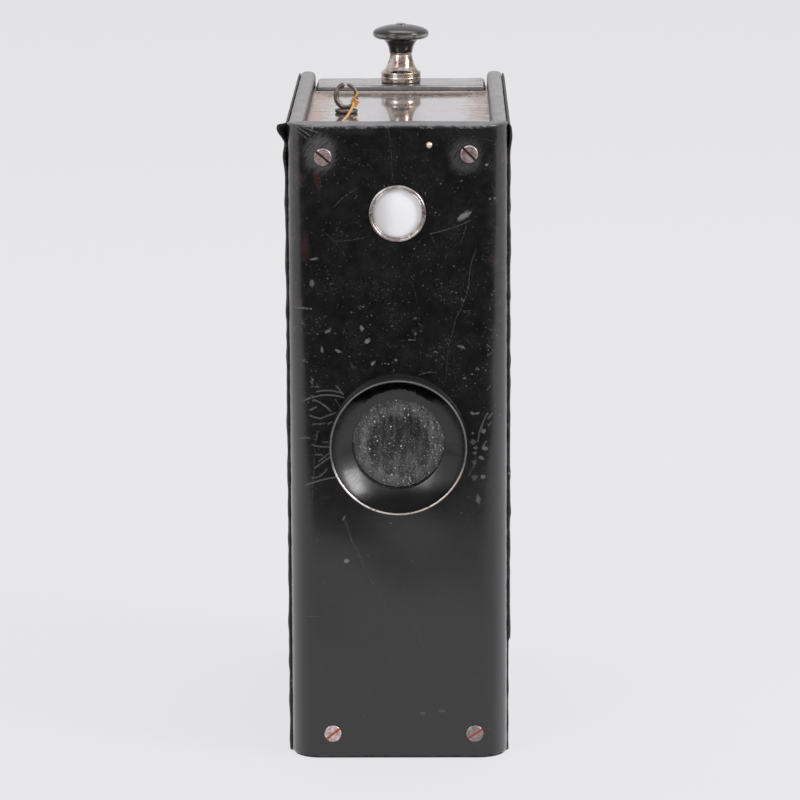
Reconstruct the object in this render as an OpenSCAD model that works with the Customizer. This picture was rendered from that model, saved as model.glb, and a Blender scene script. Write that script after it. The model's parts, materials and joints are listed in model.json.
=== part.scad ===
// Book-shaped plate camera: the lens looks out of the spine, a push-pull rod changes the plates,
// and a thread with a ring works the shutter. Millimetres, +Z up, spine towards -Y.
// Depths are counted from the face of the spine towards the fore-edge.

/* [Case] */
// Width of the spine
case_w = 50; // [49:0.5:60]
// Height of the case
case_h = 147.5; // [145:0.5:165]
// Depth of the case, from the face of the spine to the fore-edge
case_d = 105; // [104:0.5:125]
// Thickness of a side wall, whose top is a round bead
wall_t = 3.7; // [3:0.1:4]
// Thickness of the spine board
spine_t = 7; // [6.5:0.25:8]
// Radius of the two upright front edges
spine_corner_r = 6.8; // [3:0.2:6.8]
// Thickness of the smooth leather on the spine
skin_t = 0.6; // [0.4:0.1:1]
// Thickness of the grained leather on the sides
leather_t = 0.65; // [0.4:0.05:1.2]
// Height of the leather's lower edge above the base
hem = 0.4; // [0.2:0.1:1]
// Depth that the grained leather starts behind the face of the spine
leather_start = 6.2; // [5:0.1:6.4]
// How far the top and bottom panels lie inside the ends of the walls
panel_recess = 3.4; // [1.5:0.1:5]
// Thickness of the top and bottom panels
panel_t = 6; // [5.5:0.1:7]
// Thickness of the leather on the top panel
panel_skin_t = 0.4; // [0.2:0.1:0.8]

/* [Rod plate] */
// Depth of the raised plate round the changing rod
rod_plate_d = 16.6; // [14:0.2:20]
// Height of the raised plate
rod_plate_h = 1.6; // [1:0.1:2.2]
// Radius of its rounded upper ends
rod_plate_end_r = 1.1; // [0.4:0.1:1.4]
// Height and width of the step along its front foot
rod_plate_foot = 0.45; // [0.2:0.05:0.8]
// Gap between the raised plate and each wall
rod_plate_gap = 0.45; // [0.2:0.05:1]

/* [Lens] */
// Height of the lens axis above the middle of the case
lens_rise = 0.4; // [0:0.1:1.5]
// Outer radius of the lens hood's rim
hood_rim_r = 15.7; // [15.5:0.05:16.8]
// Radius of the hood's barrel in the spine board
hood_body_r = 15.4; // [15.2:0.05:15.45]
// Radius of the hood's mouth
hood_mouth_r = 15.2; // [15:0.05:15.3]
// Radius of the hood's throat
hood_throat_r = 10.5; // [9:0.1:10.6]
// Depth of the hood's throat behind the face of the spine
hood_depth = 1.8; // [1.5:0.1:2.2]
// How far the hood's rim stands out of the spine
lip_proud = 4; // [3.6:0.1:4.6]
// Thickness of the hood's web in front of the glass
web_t = 0.6; // [0.4:0.1:0.8]
// Radius of the lens glasses
glass_r = 10.9; // [10.8:0.1:11.2]
// Thickness of the front lens glass
front_glass_t = 1.9; // [1.5:0.1:2.4]
// Thickness of the rear lens glass
rear_glass_t = 1.3; // [1:0.1:1.6]
// Radius of curvature of the front glass
front_curve_r = 90; // [70:1:160]
// Wall of the lens cell
cell_wall = 1.3; // [0.9:0.1:1.6]
// Depth of the retaining ring behind the glass
retainer_t = 0.9; // [0.6:0.1:1.2]

/* [Shutter] */
// Radius of the lens stop
stop_r = 2.7; // [2:0.1:3]
// Distance of the shutter plate behind the spine board
pillar_l = 4; // [4:0.1:6]
// Thickness of the shutter plate
shutter_plate_t = 0.8; // [0.6:0.1:1]
// Width of the shutter plate
shutter_plate_w = 37; // [36:0.5:40]
// Distance of the pivot above the lens axis
pivot_rise = 14; // [14:0.1:15]
// Radius of the pivot
pivot_r = 1.5; // [1:0.1:1.8]
// Radius of the shutter sector
sector_r = 19; // [18.5:0.1:20]
// Thickness of the shutter sector
sector_t = 0.4; // [0.3:0.05:0.6]
// Radius of the opening in the sector
sector_open_r = 3.4; // [3.2:0.1:3.6]
// Radius of the pulley's flanges
pulley_r = 9.4; // [9.3:0.05:9.5]
// Thickness of the pulley
pulley_t = 1.2; // [1.1:0.05:1.5]
// Mean radius of the return spring's curls
spring_r = 1.15; // [0.9:0.05:1.3]
// Radius of the return spring's wire
spring_wire_r = 0.2; // [0.15:0.01:0.22]
// Rise of one curl of the return spring
spring_pitch = 1.22; // [1.1:0.02:1.8]

/* [Finder] */
// Distance of the finder's axis below the top of the case
finder_drop = 20; // [19:0.5:24]
// Radius of the finder ring's flange
finder_flange_r = 6.45; // [6.3:0.05:7]
// Radius of the finder's clear glass
finder_clear_r = 5.4; // [4:0.1:5.4]
// Radius of the finder ring's sleeve
finder_sleeve_r = 6; // [5.9:0.05:6.2]
// How far the finder ring stands out of the spine
finder_proud = 0.6; // [0.4:0.1:1]
// Length of the finder tube behind the spine board
finder_tube_l = 14; // [8:0.5:30]
// Distance of the partition below the finder's axis
partition_drop = 12.5; // [11:0.5:14]
// Thickness of the partition
partition_t = 1.5; // [1:0.1:2]

/* [Pull ring] */
// Offset of the ring's axis from the middle of the camera
ring_x = 12.5; // [11:0.1:14]
// Depth of the ring's axis
ring_d = 49.7; // [46:0.1:60]
// Radius of the ring's round foot
ring_foot_r = 2.7; // [2.4:0.1:3.2]
// Height of the foot
ring_foot_h = 1.3; // [0.8:0.1:2]
// Mean radius of the ring
ring_r = 2.5; // [2.2:0.1:3]
// Radius of the ring's heavy arm
ring_wire_r = 0.6; // [0.45:0.05:0.7]
// Radius of the ring's thin arm
ring_thin_r = 0.42; // [0.35:0.01:0.44]
// Radius of the stem below the foot
stem_r = 1.2; // [0.9:0.05:1.5]
// Length of the stem
stem_l = 5; // [3:0.1:5.4]

/* [Changing rod] */
// Radius of the rod
rod_r = 1.5; // [1.2:0.05:1.7]
// Radius of the rod inside the knob
rod_tip_r = 1.18; // [0.8:0.02:1.18]
// Radius of the knob's cap
cap_r = 6.83; // [5.5:0.05:8]
// Height of the cap's dome above its rim
cap_dome_h = 2.1; // [1.3:0.05:2.6]
// Radius of the cap's rounded rim
cap_rim_r = 0.95; // [0.5:0.05:1.1]
// Height of the cap's hollow neck
cap_neck_h = 3.5; // [2.6:0.1:4]
// Radius of the neck where it meets the ferrule
neck_r = 2.85; // [2.4:0.05:3.1]
// Height of the metal ferrule
ferrule_h = 6.75; // [6:0.05:8]
// Radius of the ferrule's base
ferrule_base_r = 4.88; // [4.6:0.02:5.2]
// Height of the ferrule's base band
ferrule_band_h = 1.9; // [1.4:0.05:2.4]
// Radius of the rod bush
bush_r = 2.6; // [2.3:0.1:3]
// Height of the bush's flange under the ferrule
bush_flange_h = 0.85; // [0.5:0.05:1.2]

/* [Magazine] */
// Room between a sheath and each side wall
sheath_room = 1.3; // [1.2:0.1:2]
// Room above the upper sheaths
sheath_head = 1.1; // [0.8:0.1:3]
// Thickness of a sheath
sheath_t = 1.2; // [1:0.02:1.22]
// Gap between two sheaths of a stack
sheath_gap = 0.05; // [0.02:0.01:0.08]
// Sheaths in each chamber
sheaths = 12; // [6:1:12]
// Thickness of the glass plate in a sheath
plate_t = 0.85; // [0.6:0.05:0.86]
// Rim of the sheath round the glass plate
sheath_rim = 0.7; // [0.5:0.1:1.5]
// Thickness of the aperture plate
aperture_t = 0.8; // [0.5:0.1:0.9]
// How far the aperture plate covers the rim of the front sheath
aperture_rim = 1.2; // [1:0.1:3]
// Space between the two chambers
chamber_gap = 3.25; // [3:0.05:3.6]
// Thickness of a chamber's shelf
shelf_t = 1.9; // [1.4:0.1:2.1]
// Thickness of a pressure plate
presser_t = 0.6; // [0.4:0.05:0.65]
// Thickness of the magazine's back
magazine_back_t = 0.8; // [0.5:0.05:0.9]
// Thickness of the plate carrier's sheet
carrier_t = 0.5; // [0.4:0.05:0.55]
// Height of the plate carrier's arms
carrier_h = 8; // [6:0.5:12]

/* [Fore-edge door] */
// Thickness of the door
door_t = 3; // [2.5:0.1:3.2]
// Gap round the door
door_gap = 0.3; // [0.2:0.05:0.5]
// Radius of the hinge knuckles
knuckle_r = 0.9; // [0.8:0.05:1]
// Radius of the hinge pins
hinge_pin_r = 0.5; // [0.4:0.02:0.55]
// Length of one hinge
hinge_l = 18; // [12:0.5:24]
// Thickness of the hinge leaves
leaf_t = 0.4; // [0.3:0.05:0.6]
// Width of a hinge leaf on the door
leaf_w = 5.5; // [4:0.1:8]
// Distance of each hinge from the end of the case
hinge_inset = 22; // [16:0.5:40]
// Distance of the finger notch below the middle of the door
notch_drop = 26; // [12:0.5:40]
// Radius of the finger notch
notch_r = 5.6; // [4:0.1:7]
// Length of the door catch
catch_l = 12; // [8:0.5:16]

/* [Fits] */
// Radial clearance of a part that turns or slides
run_fit = 0.05; // [0.03:0.01:0.08]
// Radial clearance of a fixed part in its hole
set_fit = 0.02; // [0.01:0.01:0.04]

/* [Hidden] */
$fn = 72;
tiny = 0.01;

rear_proud = 2 * knuckle_r + run_fit;
front_y = lip_proud - (lip_proud + case_d + rear_proud) / 2;
inner_x = case_w / 2 - wall_t;

// levels of the panels
top_z = case_h - panel_recess;
top_wood_z = top_z - panel_skin_t;
top_under_z = top_z - panel_t;
bottom_z = panel_recess;
floor_z = bottom_z + panel_t;
door_d = case_d - door_t;
panel_end_d = door_d - door_gap;

// lens and shutter along the optical axis
window_z = case_h / 2;
lens_z = window_z + lens_rise;
glass_d = hood_depth + web_t;
glass_back_d = glass_d + front_glass_t + rear_glass_t;
cell_r = glass_r + run_fit + cell_wall;
cell_end_d = glass_back_d + retainer_t + 0.6;
plate_d = spine_t + pillar_l;
plate_back_d = plate_d + shutter_plate_t;
pillar_x = shutter_plate_w / 2 - 3;
pillar_z = 17;
plate_screw_l = 3.5;
plate_screw_turn = 20;
pillar_r = 2;
plate_edge = 3;
pivot_z = lens_z + pivot_rise;
pulley_d = plate_back_d + 0.2;
sector_d = pulley_d + pulley_t + 0.05;
groove_d = pulley_d + pulley_t / 2;
sector_rest = 30;
sector_lead = 15;
sector_hub_r = 4.5;
spring_x = 7;
spring_d = sector_d + sector_t + 1;
spring_pin_r = 0.5;
post_r = 0.8;
post_rise = 16;
groove_r = 0.48;

finder_z = case_h - finder_drop;
finder_curve_r = 24;
finder_wall = 0.7;
partition_z = finder_z - partition_drop;
plate_low_z = lens_z - pillar_z - plate_edge;
plate_high_z = partition_z - 5.25;
post_z = min(pivot_z + post_rise, plate_high_z - 6);

// rod and knob
rod_plate_front = case_d - rod_plate_d;
rod_d = case_d - rod_plate_d / 2 - tiny;
rod_plate_z = top_z + rod_plate_h;
ferrule_z = rod_plate_z + bush_flange_h + 0.05;
cap_z = ferrule_z + ferrule_h;
rim_z = cap_z + cap_neck_h + cap_rim_r;
cap_top_z = rim_z + cap_dome_h;

// magazine
// the sheaths are as large as the room between the walls and the room above the lens allow
sheath_side = min(
    2 * (inner_x - sheath_room),
    (window_z - panel_recess - panel_t - chamber_gap - sheath_head) / 1.5
);
half_side = sheath_side / 2;
aperture_side = sheath_side - 2 * aperture_rim;
lower_z = window_z - half_side;
travel = sheath_side + chamber_gap;
upper_z = lower_z + travel;
// depths, counted forwards from the rod
pitch = sheath_t + sheath_gap;
back_d = rod_d - rod_r - 0.2 - magazine_back_t;
upper_press_d = back_d - 0.5 - pitch - presser_t;
lower_press_d = upper_press_d - pitch;
stack_d = lower_press_d - sheaths * pitch;
aperture_d = stack_d - 0.3 - aperture_t;
carrier_x = half_side + 0.35;
carrier_z = lower_z - carrier_t - 0.1;
shelf_x = half_side + 0.1;
cross_d = back_d + magazine_back_t + 0.3;
cross_end_d = rod_d + 1.25;
cross_h = 6;
shelf_d = stack_d + pitch + 0.2;

// door
door_x = inner_x - door_gap;
door_low = bottom_z + 0.2;
door_high = top_z - 0.3;
catch_d = door_d + door_t / 2 - 0.3;
hinge_d = case_d + knuckle_r + run_fit;
hinge_x = inner_x - door_gap / 2;
knuckle_gap = 0.15;

// fasteners: the four spine screws stand where a hand set them
screw_places = [
    [8.2 - case_w / 2, case_h - 7.1], [case_w / 2 - 8.8, case_h - 6.5],
    [9.6 - case_w / 2, 6], [case_w / 2 - 7.6, 6]
];
screw_turns = [-40, -45, 38, 33];
screw_head_r = 2;
screw_head_h = 0.55;
screw_r = 1;
screw_l = 15.5;
slot_w = 0.55;
small_head_r = 1.6;
small_head_h = 0.7;
pin_x = 7.2;
pin_z = case_h - 4.45;
pin_head_r = 0.75;
pin_r = 0.45;
pin_l = 13;

// thread: its route from the ring, down through the top panel and round the pulley
thread_r = 0.28;
thread_x = -13.2;
thread_hole_d = 24;
thread_hole_r = 0.9;
thread_gate = [-11.2, 18.9];
thread_route = [
    [-10.7, 48.35, top_z + 2.4], [-11.0, 46, top_z + 1.7], [-11.9, 37, top_z + 1],
    [-12.8, 28, top_z + 0.8], [-13.1, 25.4, top_z + 0.7], [-13.2, 24.4, top_z + 0.2],
    [-13.2, 24.05, top_z - 0.7], [-13.2, 24, top_z - 3.1], [-13.1, 23.6, top_z - 7.1],
    [-12.2, 21.3, finder_z - 1], [-11.2, 18.9, partition_z + 1], [-10.2, 15.9, pivot_z + 14.25],
    [-9.45, groove_d + 0.6, pivot_z + 3.75], [-9.25, groove_d + 0.05, pivot_z],
    [-8.65, groove_d, pivot_z - 3.25], [-6.9, groove_d, pivot_z - 6.15],
    [-4.6, groove_d, pivot_z - 8.05], [-1.6, groove_d, pivot_z - 9.05],
    [1.6, groove_d, pivot_z - 9.1], [4.4, groove_d, pivot_z - 8.1]
];
thread_step = 1.5;
thread_sides = 8;

// frames and directions

module placed() {
    translate([0, front_y, 0]) children();
}

// a flat outline in X and Z, carried from one depth to another
module along_depth(from, to) {
    translate([0, to, 0]) rotate([90, 0, 0]) linear_extrude(to - from) children();
}

// a flat outline in X and depth, carried from one height to another
module along_height(from, to) {
    translate([0, 0, from]) linear_extrude(to - from) children();
}

// an outline of radius and depth, turned about an axis that points into the camera
module turned(x, z) {
    translate([x, 0, z]) rotate([-90, 0, 0]) rotate_extrude() children();
}

// an outline of radius and height, turned about an upright axis
module upright(x, d) {
    translate([x, d, 0]) rotate_extrude() children();
}

module band(r_in, r_out, from, to) {
    translate([r_in, from]) square([r_out - r_in, to - from]);
}

module hole_in_depth(x, z, r, from, to) {
    turned(x, z) band(0, r, from, to);
}

// case

// plan of the spine: flat face, two round upright edges
module spine_plan(inset) {
    half = case_w / 2;
    intersection() {
        union() {
            translate([-(half - inset), spine_corner_r])
                square([2 * (half - inset), spine_t - spine_corner_r]);
            translate([-(half - spine_corner_r), inset])
                square([2 * (half - spine_corner_r), spine_t - inset]);
            for (side = [-1, 1])
                translate([side * (half - spine_corner_r), spine_corner_r])
                    circle(spine_corner_r - inset);
        }
        translate([-half, 0]) square([2 * half, spine_t]);
    }
}

// the holes that every layer of the spine shares
module spine_holes(from, to) {
    hole_in_depth(0, lens_z, hood_body_r + set_fit, from, to);
    hole_in_depth(0, finder_z, finder_sleeve_r + set_fit, from, to);
    hole_in_depth(pin_x, pin_z, pin_r + set_fit, from, to);
    for (place = screw_places) hole_in_depth(place[0], place[1], screw_r + set_fit, from, to);
}

module spine_board() {
    color([0.10, 0.09, 0.08]) placed() difference() {
        along_height(0, case_h) spine_plan(skin_t);
        spine_holes(-1, spine_t + 1);
        for (x = [-pillar_x, pillar_x], z = [-pillar_z, pillar_z])
            hole_in_depth(x, lens_z + z, screw_r + set_fit, spine_t - plate_screw_l - 0.5, spine_t + 1);
    }
}

module spine_skin() {
    color([0.06, 0.06, 0.06]) placed() difference() {
        along_height(hem, case_h) difference() {
            spine_plan(0);
            spine_plan(skin_t);
            translate([-case_w, spine_t - 0.1]) square([2 * case_w, 1]);
        }
        spine_holes(-1, spine_t + 1);
    }
}

// section of a side wall: a board with a round bead along its top
module wall_section() {
    square([wall_t, case_h - wall_t / 2]);
    translate([wall_t / 2, case_h - wall_t / 2]) circle(wall_t / 2);
}

module side_wall() {
    placed() translate([inner_x, 0, 0]) along_depth(spine_t, case_d) wall_section();
}

module left_wall() {
    color([0.13, 0.12, 0.11]) mirror([1, 0, 0]) side_wall();
}

// the right wall has the dimple that the door catch springs into
module right_wall() {
    color([0.13, 0.12, 0.11]) difference() {
        side_wall();
        placed() translate([inner_x - tiny, catch_d, window_z])
            rotate([0, 90, 0]) cylinder(h = 0.6 + tiny, r = 1);
    }
}

module side_leather() {
    placed() translate([case_w / 2, 0, 0]) along_depth(leather_start, case_d)
        translate([0, hem]) square([leather_t, case_h - 1.5 * hem - hem]);
}

module left_leather() {
    color([0.09, 0.08, 0.07]) mirror([1, 0, 0]) side_leather();
}

module right_leather() {
    color([0.09, 0.08, 0.07]) side_leather();
}

// the holes that the top panel and its leather share
module top_holes() {
    upright(0, rod_d) band(0, bush_r + set_fit, top_under_z - 1, rod_plate_z + 1);
    upright(-ring_x, ring_d) band(0, stem_r + 0.8 + set_fit, top_under_z - 1, top_z + 1);
    upright(thread_x, thread_hole_d) {
        band(0, thread_hole_r, top_under_z - 1, top_z + 1);
        polygon([
            [0, top_z - thread_hole_r], [thread_hole_r, top_z - thread_hole_r],
            [2 * thread_hole_r, top_z], [2 * thread_hole_r, top_z + 1], [0, top_z + 1]
        ]);
    }
}

module top_panel() {
    color([0.16, 0.13, 0.12]) placed() difference() {
        along_height(top_under_z, top_wood_z) translate([-inner_x, spine_t])
            square([2 * inner_x, panel_end_d - spine_t]);
        top_holes();
        panel_screw_holes();
    }
}

module top_skin() {
    color([0.20, 0.17, 0.16]) placed() difference() {
        along_height(top_wood_z, top_z) translate([-inner_x, spine_t])
            square([2 * inner_x, panel_end_d - spine_t]);
        top_holes();
    }
}

module bottom_panel() {
    color([0.14, 0.12, 0.11]) placed() difference() {
        along_height(bottom_z, floor_z) translate([-inner_x, spine_t])
            square([2 * inner_x, panel_end_d - spine_t]);
        panel_screw_holes();
    }
}

module panel_screw_holes() {
    for (place = screw_places)
        hole_in_depth(place[0], place[1], screw_r + set_fit, spine_t - 1, screw_l + 0.5);
    hole_in_depth(pin_x, pin_z, pin_r + set_fit, spine_t - 1, pin_l + 0.5);
}

// section of the raised plate: a strip with round upper corners
module rod_plate_section(half) {
    intersection() {
        translate([-half, 0]) square([2 * half, rod_plate_h]);
        union() {
            square([4 * half, 2 * (rod_plate_h - rod_plate_end_r)], center = true);
            square([2 * (half - rod_plate_end_r), 4 * rod_plate_h], center = true);
            for (side = [-1, 1])
                translate([side * (half - rod_plate_end_r), rod_plate_h - rod_plate_end_r])
                    circle(rod_plate_end_r);
        }
    }
}

// raised plate round the rod, with a small step along its front foot
module rod_plate() {
    half = inner_x - rod_plate_gap;
    color([0.15, 0.13, 0.12]) placed() difference() {
        union() {
            along_depth(rod_plate_front + rod_plate_foot, case_d)
                translate([0, top_z]) rod_plate_section(half);
            along_height(top_z, top_z + rod_plate_foot) translate([-half, rod_plate_front])
                square([2 * half, rod_plate_d / 2]);
        }
        top_holes();
    }
}

// fasteners

// cheese head with a round upper edge, its slot turned by hand
module slotted_screw(head_r, head_h, shank_r, shank_l, turn) {
    edge = head_h / 2;
    rotate([-90, 0, 0]) difference() {
        rotate_extrude() {
            band(0, head_r, -edge, 0);
            band(0, head_r - edge, -head_h, 0);
            translate([head_r - edge, -edge]) circle(edge);
            band(0, shank_r, -tiny, shank_l);
        }
        rotate([0, 0, turn])
            translate([-head_r - 1, -slot_w / 2, -head_h - 1])
                cube([2 * head_r + 2, slot_w, 1 + head_h * 0.7]);
    }
}

module spine_screws() {
    color([0.58, 0.50, 0.49]) placed() for (i = [0:3])
        translate([screw_places[i][0], 0, screw_places[i][1]])
            slotted_screw(screw_head_r, screw_head_h, screw_r, screw_l, -screw_turns[i]);
}

module brass_pin() {
    color([0.80, 0.68, 0.60]) placed() turned(pin_x, pin_z) {
        band(0, pin_r, -tiny, pin_l);
        intersection() {
            circle(pin_head_r);
            band(0, pin_head_r, -pin_head_r, 0);
        }
    }
}

// lens

// a conical dish sunk in the spine, with a round rim on the spine's face, a web in front of the
// glass and the seat of the cell behind it
module lens_hood() {
    edge = (hood_rim_r - hood_mouth_r) / 2;
    color([0.07, 0.07, 0.07]) placed() turned(0, lens_z) difference() {
        union() {
            band(0, hood_body_r, -tiny, spine_t);
            band(0, hood_rim_r, edge - lip_proud, 0);
            translate([hood_rim_r - edge, edge - lip_proud]) circle(edge);
        }
        band(0, hood_mouth_r, -lip_proud - 1, edge - lip_proud);
        polygon([
            [0, edge - lip_proud - tiny], [hood_mouth_r, edge - lip_proud - tiny],
            [hood_throat_r, hood_depth], [0, hood_depth]
        ]);
        band(0, hood_throat_r, hood_depth - tiny, spine_t + 1);
        band(0, cell_r + set_fit, glass_d, spine_t + 1);
    }
}

module front_lens() {
    color([0.30, 0.31, 0.33, 0.6]) placed() turned(0, lens_z) intersection() {
        translate([0, glass_d + front_curve_r]) circle(front_curve_r, $fn = 180);
        band(0, glass_r, glass_d, glass_d + front_glass_t);
    }
}

module rear_lens() {
    color([0.35, 0.36, 0.38, 0.6]) placed() turned(0, lens_z)
        band(0, glass_r, glass_d + front_glass_t, glass_back_d);
}

module lens_cell() {
    color([0.62, 0.50, 0.28]) placed() turned(0, lens_z)
        band(glass_r + run_fit, cell_r, glass_d, cell_end_d);
}

module retaining_ring() {
    color([0.55, 0.44, 0.25]) placed() turned(0, lens_z)
        band(glass_r - 1.2, glass_r + run_fit - set_fit, glass_back_d, glass_back_d + retainer_t);
}

// shutter

module shutter_plate() {
    color([0.55, 0.45, 0.26]) placed() difference() {
        along_depth(plate_d, plate_back_d) translate([-shutter_plate_w / 2, plate_low_z])
            square([shutter_plate_w, plate_high_z - plate_low_z]);
        hole_in_depth(0, lens_z, stop_r, plate_d - 1, plate_back_d + 1);
        hole_in_depth(0, pivot_z, pivot_r + set_fit, plate_d - 1, plate_back_d + 1);
        hole_in_depth(spring_x, post_z, post_r + set_fit, plate_d - 1, plate_back_d + 1);
        for (x = [-pillar_x, pillar_x], z = [-pillar_z, pillar_z])
            hole_in_depth(x, lens_z + z, screw_r + set_fit, plate_d - 1, plate_back_d + 1);
    }
}

module plate_pillars() {
    color([0.60, 0.49, 0.28]) placed() for (x = [-pillar_x, pillar_x], z = [-pillar_z, pillar_z])
        turned(x, lens_z + z) band(screw_r + set_fit, pillar_r, spine_t, plate_d);
}

module plate_screws() {
    color([0.5, 0.5, 0.5]) placed() for (x = [-pillar_x, pillar_x], z = [-pillar_z, pillar_z])
        translate([x, plate_back_d, lens_z + z]) mirror([0, 1, 0])
            slotted_screw(small_head_r, small_head_h, screw_r,
                shutter_plate_t + pillar_l + plate_screw_l, plate_screw_turn);
}

module pivot_stud() {
    color([0.5, 0.5, 0.52]) placed() turned(0, pivot_z) {
        band(0, pivot_r, plate_d, sector_d + sector_t + 0.1);
        band(0, pivot_r + 1.1, sector_d + sector_t + 0.1, sector_d + sector_t + 0.8);
    }
}

module spring_post() {
    color([0.5, 0.5, 0.52]) placed() turned(spring_x, post_z) {
        band(0, post_r, plate_d, spring_d + 0.8);
        band(0, post_r + 0.4, spring_d + 0.8, spring_d + 1.2);
    }
}

module shutter_pulley() {
    color([0.62, 0.50, 0.28]) placed() {
        turned(0, pivot_z) difference() {
            band(pivot_r + run_fit, pulley_r, pulley_d, pulley_d + pulley_t);
            translate([pulley_r, groove_d]) circle(groove_r);
        }
        turned(spring_x, pivot_z) band(0, spring_pin_r, pulley_d + pulley_t - tiny, spring_d + 0.8);
    }
}

// a quarter sector with a round opening that swings past the stop
module shutter_sector() {
    color([0.25, 0.25, 0.26]) placed() along_depth(sector_d, sector_d + sector_t)
        translate([0, pivot_z]) difference() {
            union() {
                circle(sector_hub_r);
                rotate(-90 - sector_lead) intersection() {
                    circle(sector_r);
                    square(sector_r);
                }
            }
            circle(pivot_r + run_fit);
            translate([pivot_rise * sin(sector_rest), -pivot_rise * cos(sector_rest)])
                circle(sector_open_r);
        }
}

// tubes along a line of points

function unit(v) = v / norm(v);
function heading(line, i) =
    unit(line[min(i + 1, len(line) - 1)] - line[max(i - 1, 0)]);
function square_to(v, t) = unit(v - (v * t) * t);

// side directions carried along the line without twist
function side_dirs(line, start) = [
    for (i = 0, n = square_to(start, heading(line, 0)); i < len(line);
        i = i + 1, n = i < len(line) ? square_to(n, heading(line, i)) : n) n
];

// a smooth curve through the points, with steps of about one length
function curve_at(a, b, c, d, t) =
    0.5 * (2 * b + (c - a) * t + (2 * a - 5 * b + 4 * c - d) * t * t + (3 * b - 3 * c + d - a) * t * t * t);
function smooth(route, step) = concat([
    for (i = [0:len(route) - 2])
        let (a = route[max(i - 1, 0)], b = route[i], c = route[i + 1],
            d = route[min(i + 2, len(route) - 1)], steps = ceil(norm(c - b) / step))
        for (k = [0:steps - 1]) curve_at(a, b, c, d, k / steps)
], [route[len(route) - 1]]);

module tube(line, r, sides, start) {
    dirs = side_dirs(line, start);
    rings = len(line);
    points = [
        for (i = [0:rings - 1])
            let (t = heading(line, i), n = dirs[i], m = cross(t, n))
            for (k = [0:sides - 1])
                line[i] + r * (cos(360 * k / sides) * n + sin(360 * k / sides) * m)
    ];
    walls = [
        for (i = [0:rings - 2], k = [0:sides - 1])
            let (a = i * sides + k, b = i * sides + (k + 1) % sides)
            each [[a, b + sides, b], [a, a + sides, b + sides]]
    ];
    first_cap = [for (k = [1:sides - 2]) [0, k, k + 1]];
    last = (rings - 1) * sides;
    last_cap = [for (k = [1:sides - 2]) [last, last + k + 1, last + k]];
    polyhedron(points, concat(walls, first_cap, last_cap));
}

// the return spring hangs from its post down to the pulley's pin
spring_low = pivot_z + spring_pin_r + spring_wire_r + 0.05;
spring_high = post_z - post_r - spring_wire_r - 0.05;
spring_tail = 1.6;
spring_coil_l = spring_high - spring_low - 2 * spring_tail;
spring_turns = floor(spring_coil_l / spring_pitch + tiny);
spring_line = concat(
    [[0, 0, spring_low]],
    [
        for (k = [0:8 * spring_turns])
            let (s = k / (8 * spring_turns), grow = min(1, s * spring_turns, (1 - s) * spring_turns))
            [
                spring_r * grow * cos(45 * k), spring_r * grow * sin(45 * k),
                spring_low + spring_tail + s * spring_coil_l
            ]
    ],
    [[0, 0, spring_high]]
);

module return_spring() {
    color([0.55, 0.55, 0.57]) placed() translate([spring_x, spring_d, 0])
        tube(spring_line, spring_wire_r, 6, [1, 0, 0]);
}

module shutter_thread() {
    color([0.85, 0.60, 0.22]) placed()
        tube(smooth(thread_route, thread_step), thread_r, thread_sides, [1, 0, 0]);
}

// finder

module finder_ring() {
    color([0.55, 0.53, 0.52]) placed() turned(0, finder_z) difference() {
        union() {
            band(0, finder_flange_r - finder_proud / 2, -finder_proud, 0);
            translate([finder_flange_r - finder_proud / 2, -finder_proud / 2]) circle(finder_proud / 2);
            band(0, finder_sleeve_r, -tiny, spine_t);
        }
        band(0, finder_clear_r, -finder_proud - 1, spine_t + 1);
        band(0, finder_clear_r + 0.15, 0.1, spine_t + 1);
        translate([finder_clear_r, -finder_proud]) circle(finder_proud * 0.6);
    }
}

module finder_lens() {
    color([0.9, 0.9, 0.92, 0.6]) placed() turned(0, finder_z) intersection() {
        translate([0, finder_curve_r - 0.35]) circle(finder_curve_r, $fn = 120);
        union() {
            band(0, finder_clear_r - 0.05, -1, 2.2);
            band(0, finder_clear_r + 0.1, 0.15, 2.2);
        }
    }
}

module finder_tube() {
    color([0.2, 0.2, 0.2]) placed() turned(0, finder_z) {
        band(finder_sleeve_r - 0.35, finder_sleeve_r + finder_wall, spine_t, spine_t + finder_tube_l);
        band(0, finder_sleeve_r + finder_wall, spine_t + finder_tube_l - 1, spine_t + finder_tube_l);
    }
}

module finder_screen() {
    color([0.92, 0.92, 0.93]) placed() turned(0, finder_z)
        band(0, finder_clear_r + 0.1, spine_t - 2.2, spine_t - 1.2);
}

// shelf that parts the finder from the light chamber, with a hole for the thread
module finder_partition() {
    mid = partition_z + partition_t / 2;
    color([0.1, 0.1, 0.1]) placed() difference() {
        along_height(partition_z, partition_z + partition_t) translate([-inner_x, spine_t])
            square([2 * inner_x, aperture_d - spine_t]);
        translate([thread_gate[0], thread_gate[1], mid])
            cylinder(h = partition_t + 1, r = thread_hole_r, center = true);
    }
}

// magazine

module aperture_plate() {
    color([0.08, 0.08, 0.08]) placed() along_depth(aperture_d, aperture_d + aperture_t) difference() {
        translate([-inner_x, floor_z]) square([2 * inner_x, top_under_z - floor_z]);
        translate([-aperture_side / 2, window_z - aperture_side / 2]) square(aperture_side);
    }
}

module shelf(top) {
    placed() along_height(top - shelf_t, top) translate([-shelf_x, shelf_d])
        square([2 * shelf_x, back_d - shelf_d]);
}

module chamber_floor() {
    color([0.45, 0.36, 0.2]) shelf(lower_z - 0.05);
}

module chamber_divider() {
    color([0.45, 0.36, 0.2]) shelf(upper_z - 0.05);
}

module magazine_back() {
    color([0.5, 0.4, 0.24]) placed() along_depth(back_d, back_d + magazine_back_t)
        translate([-shelf_x, floor_z]) square([2 * shelf_x, top_under_z - floor_z]);
}

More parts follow.
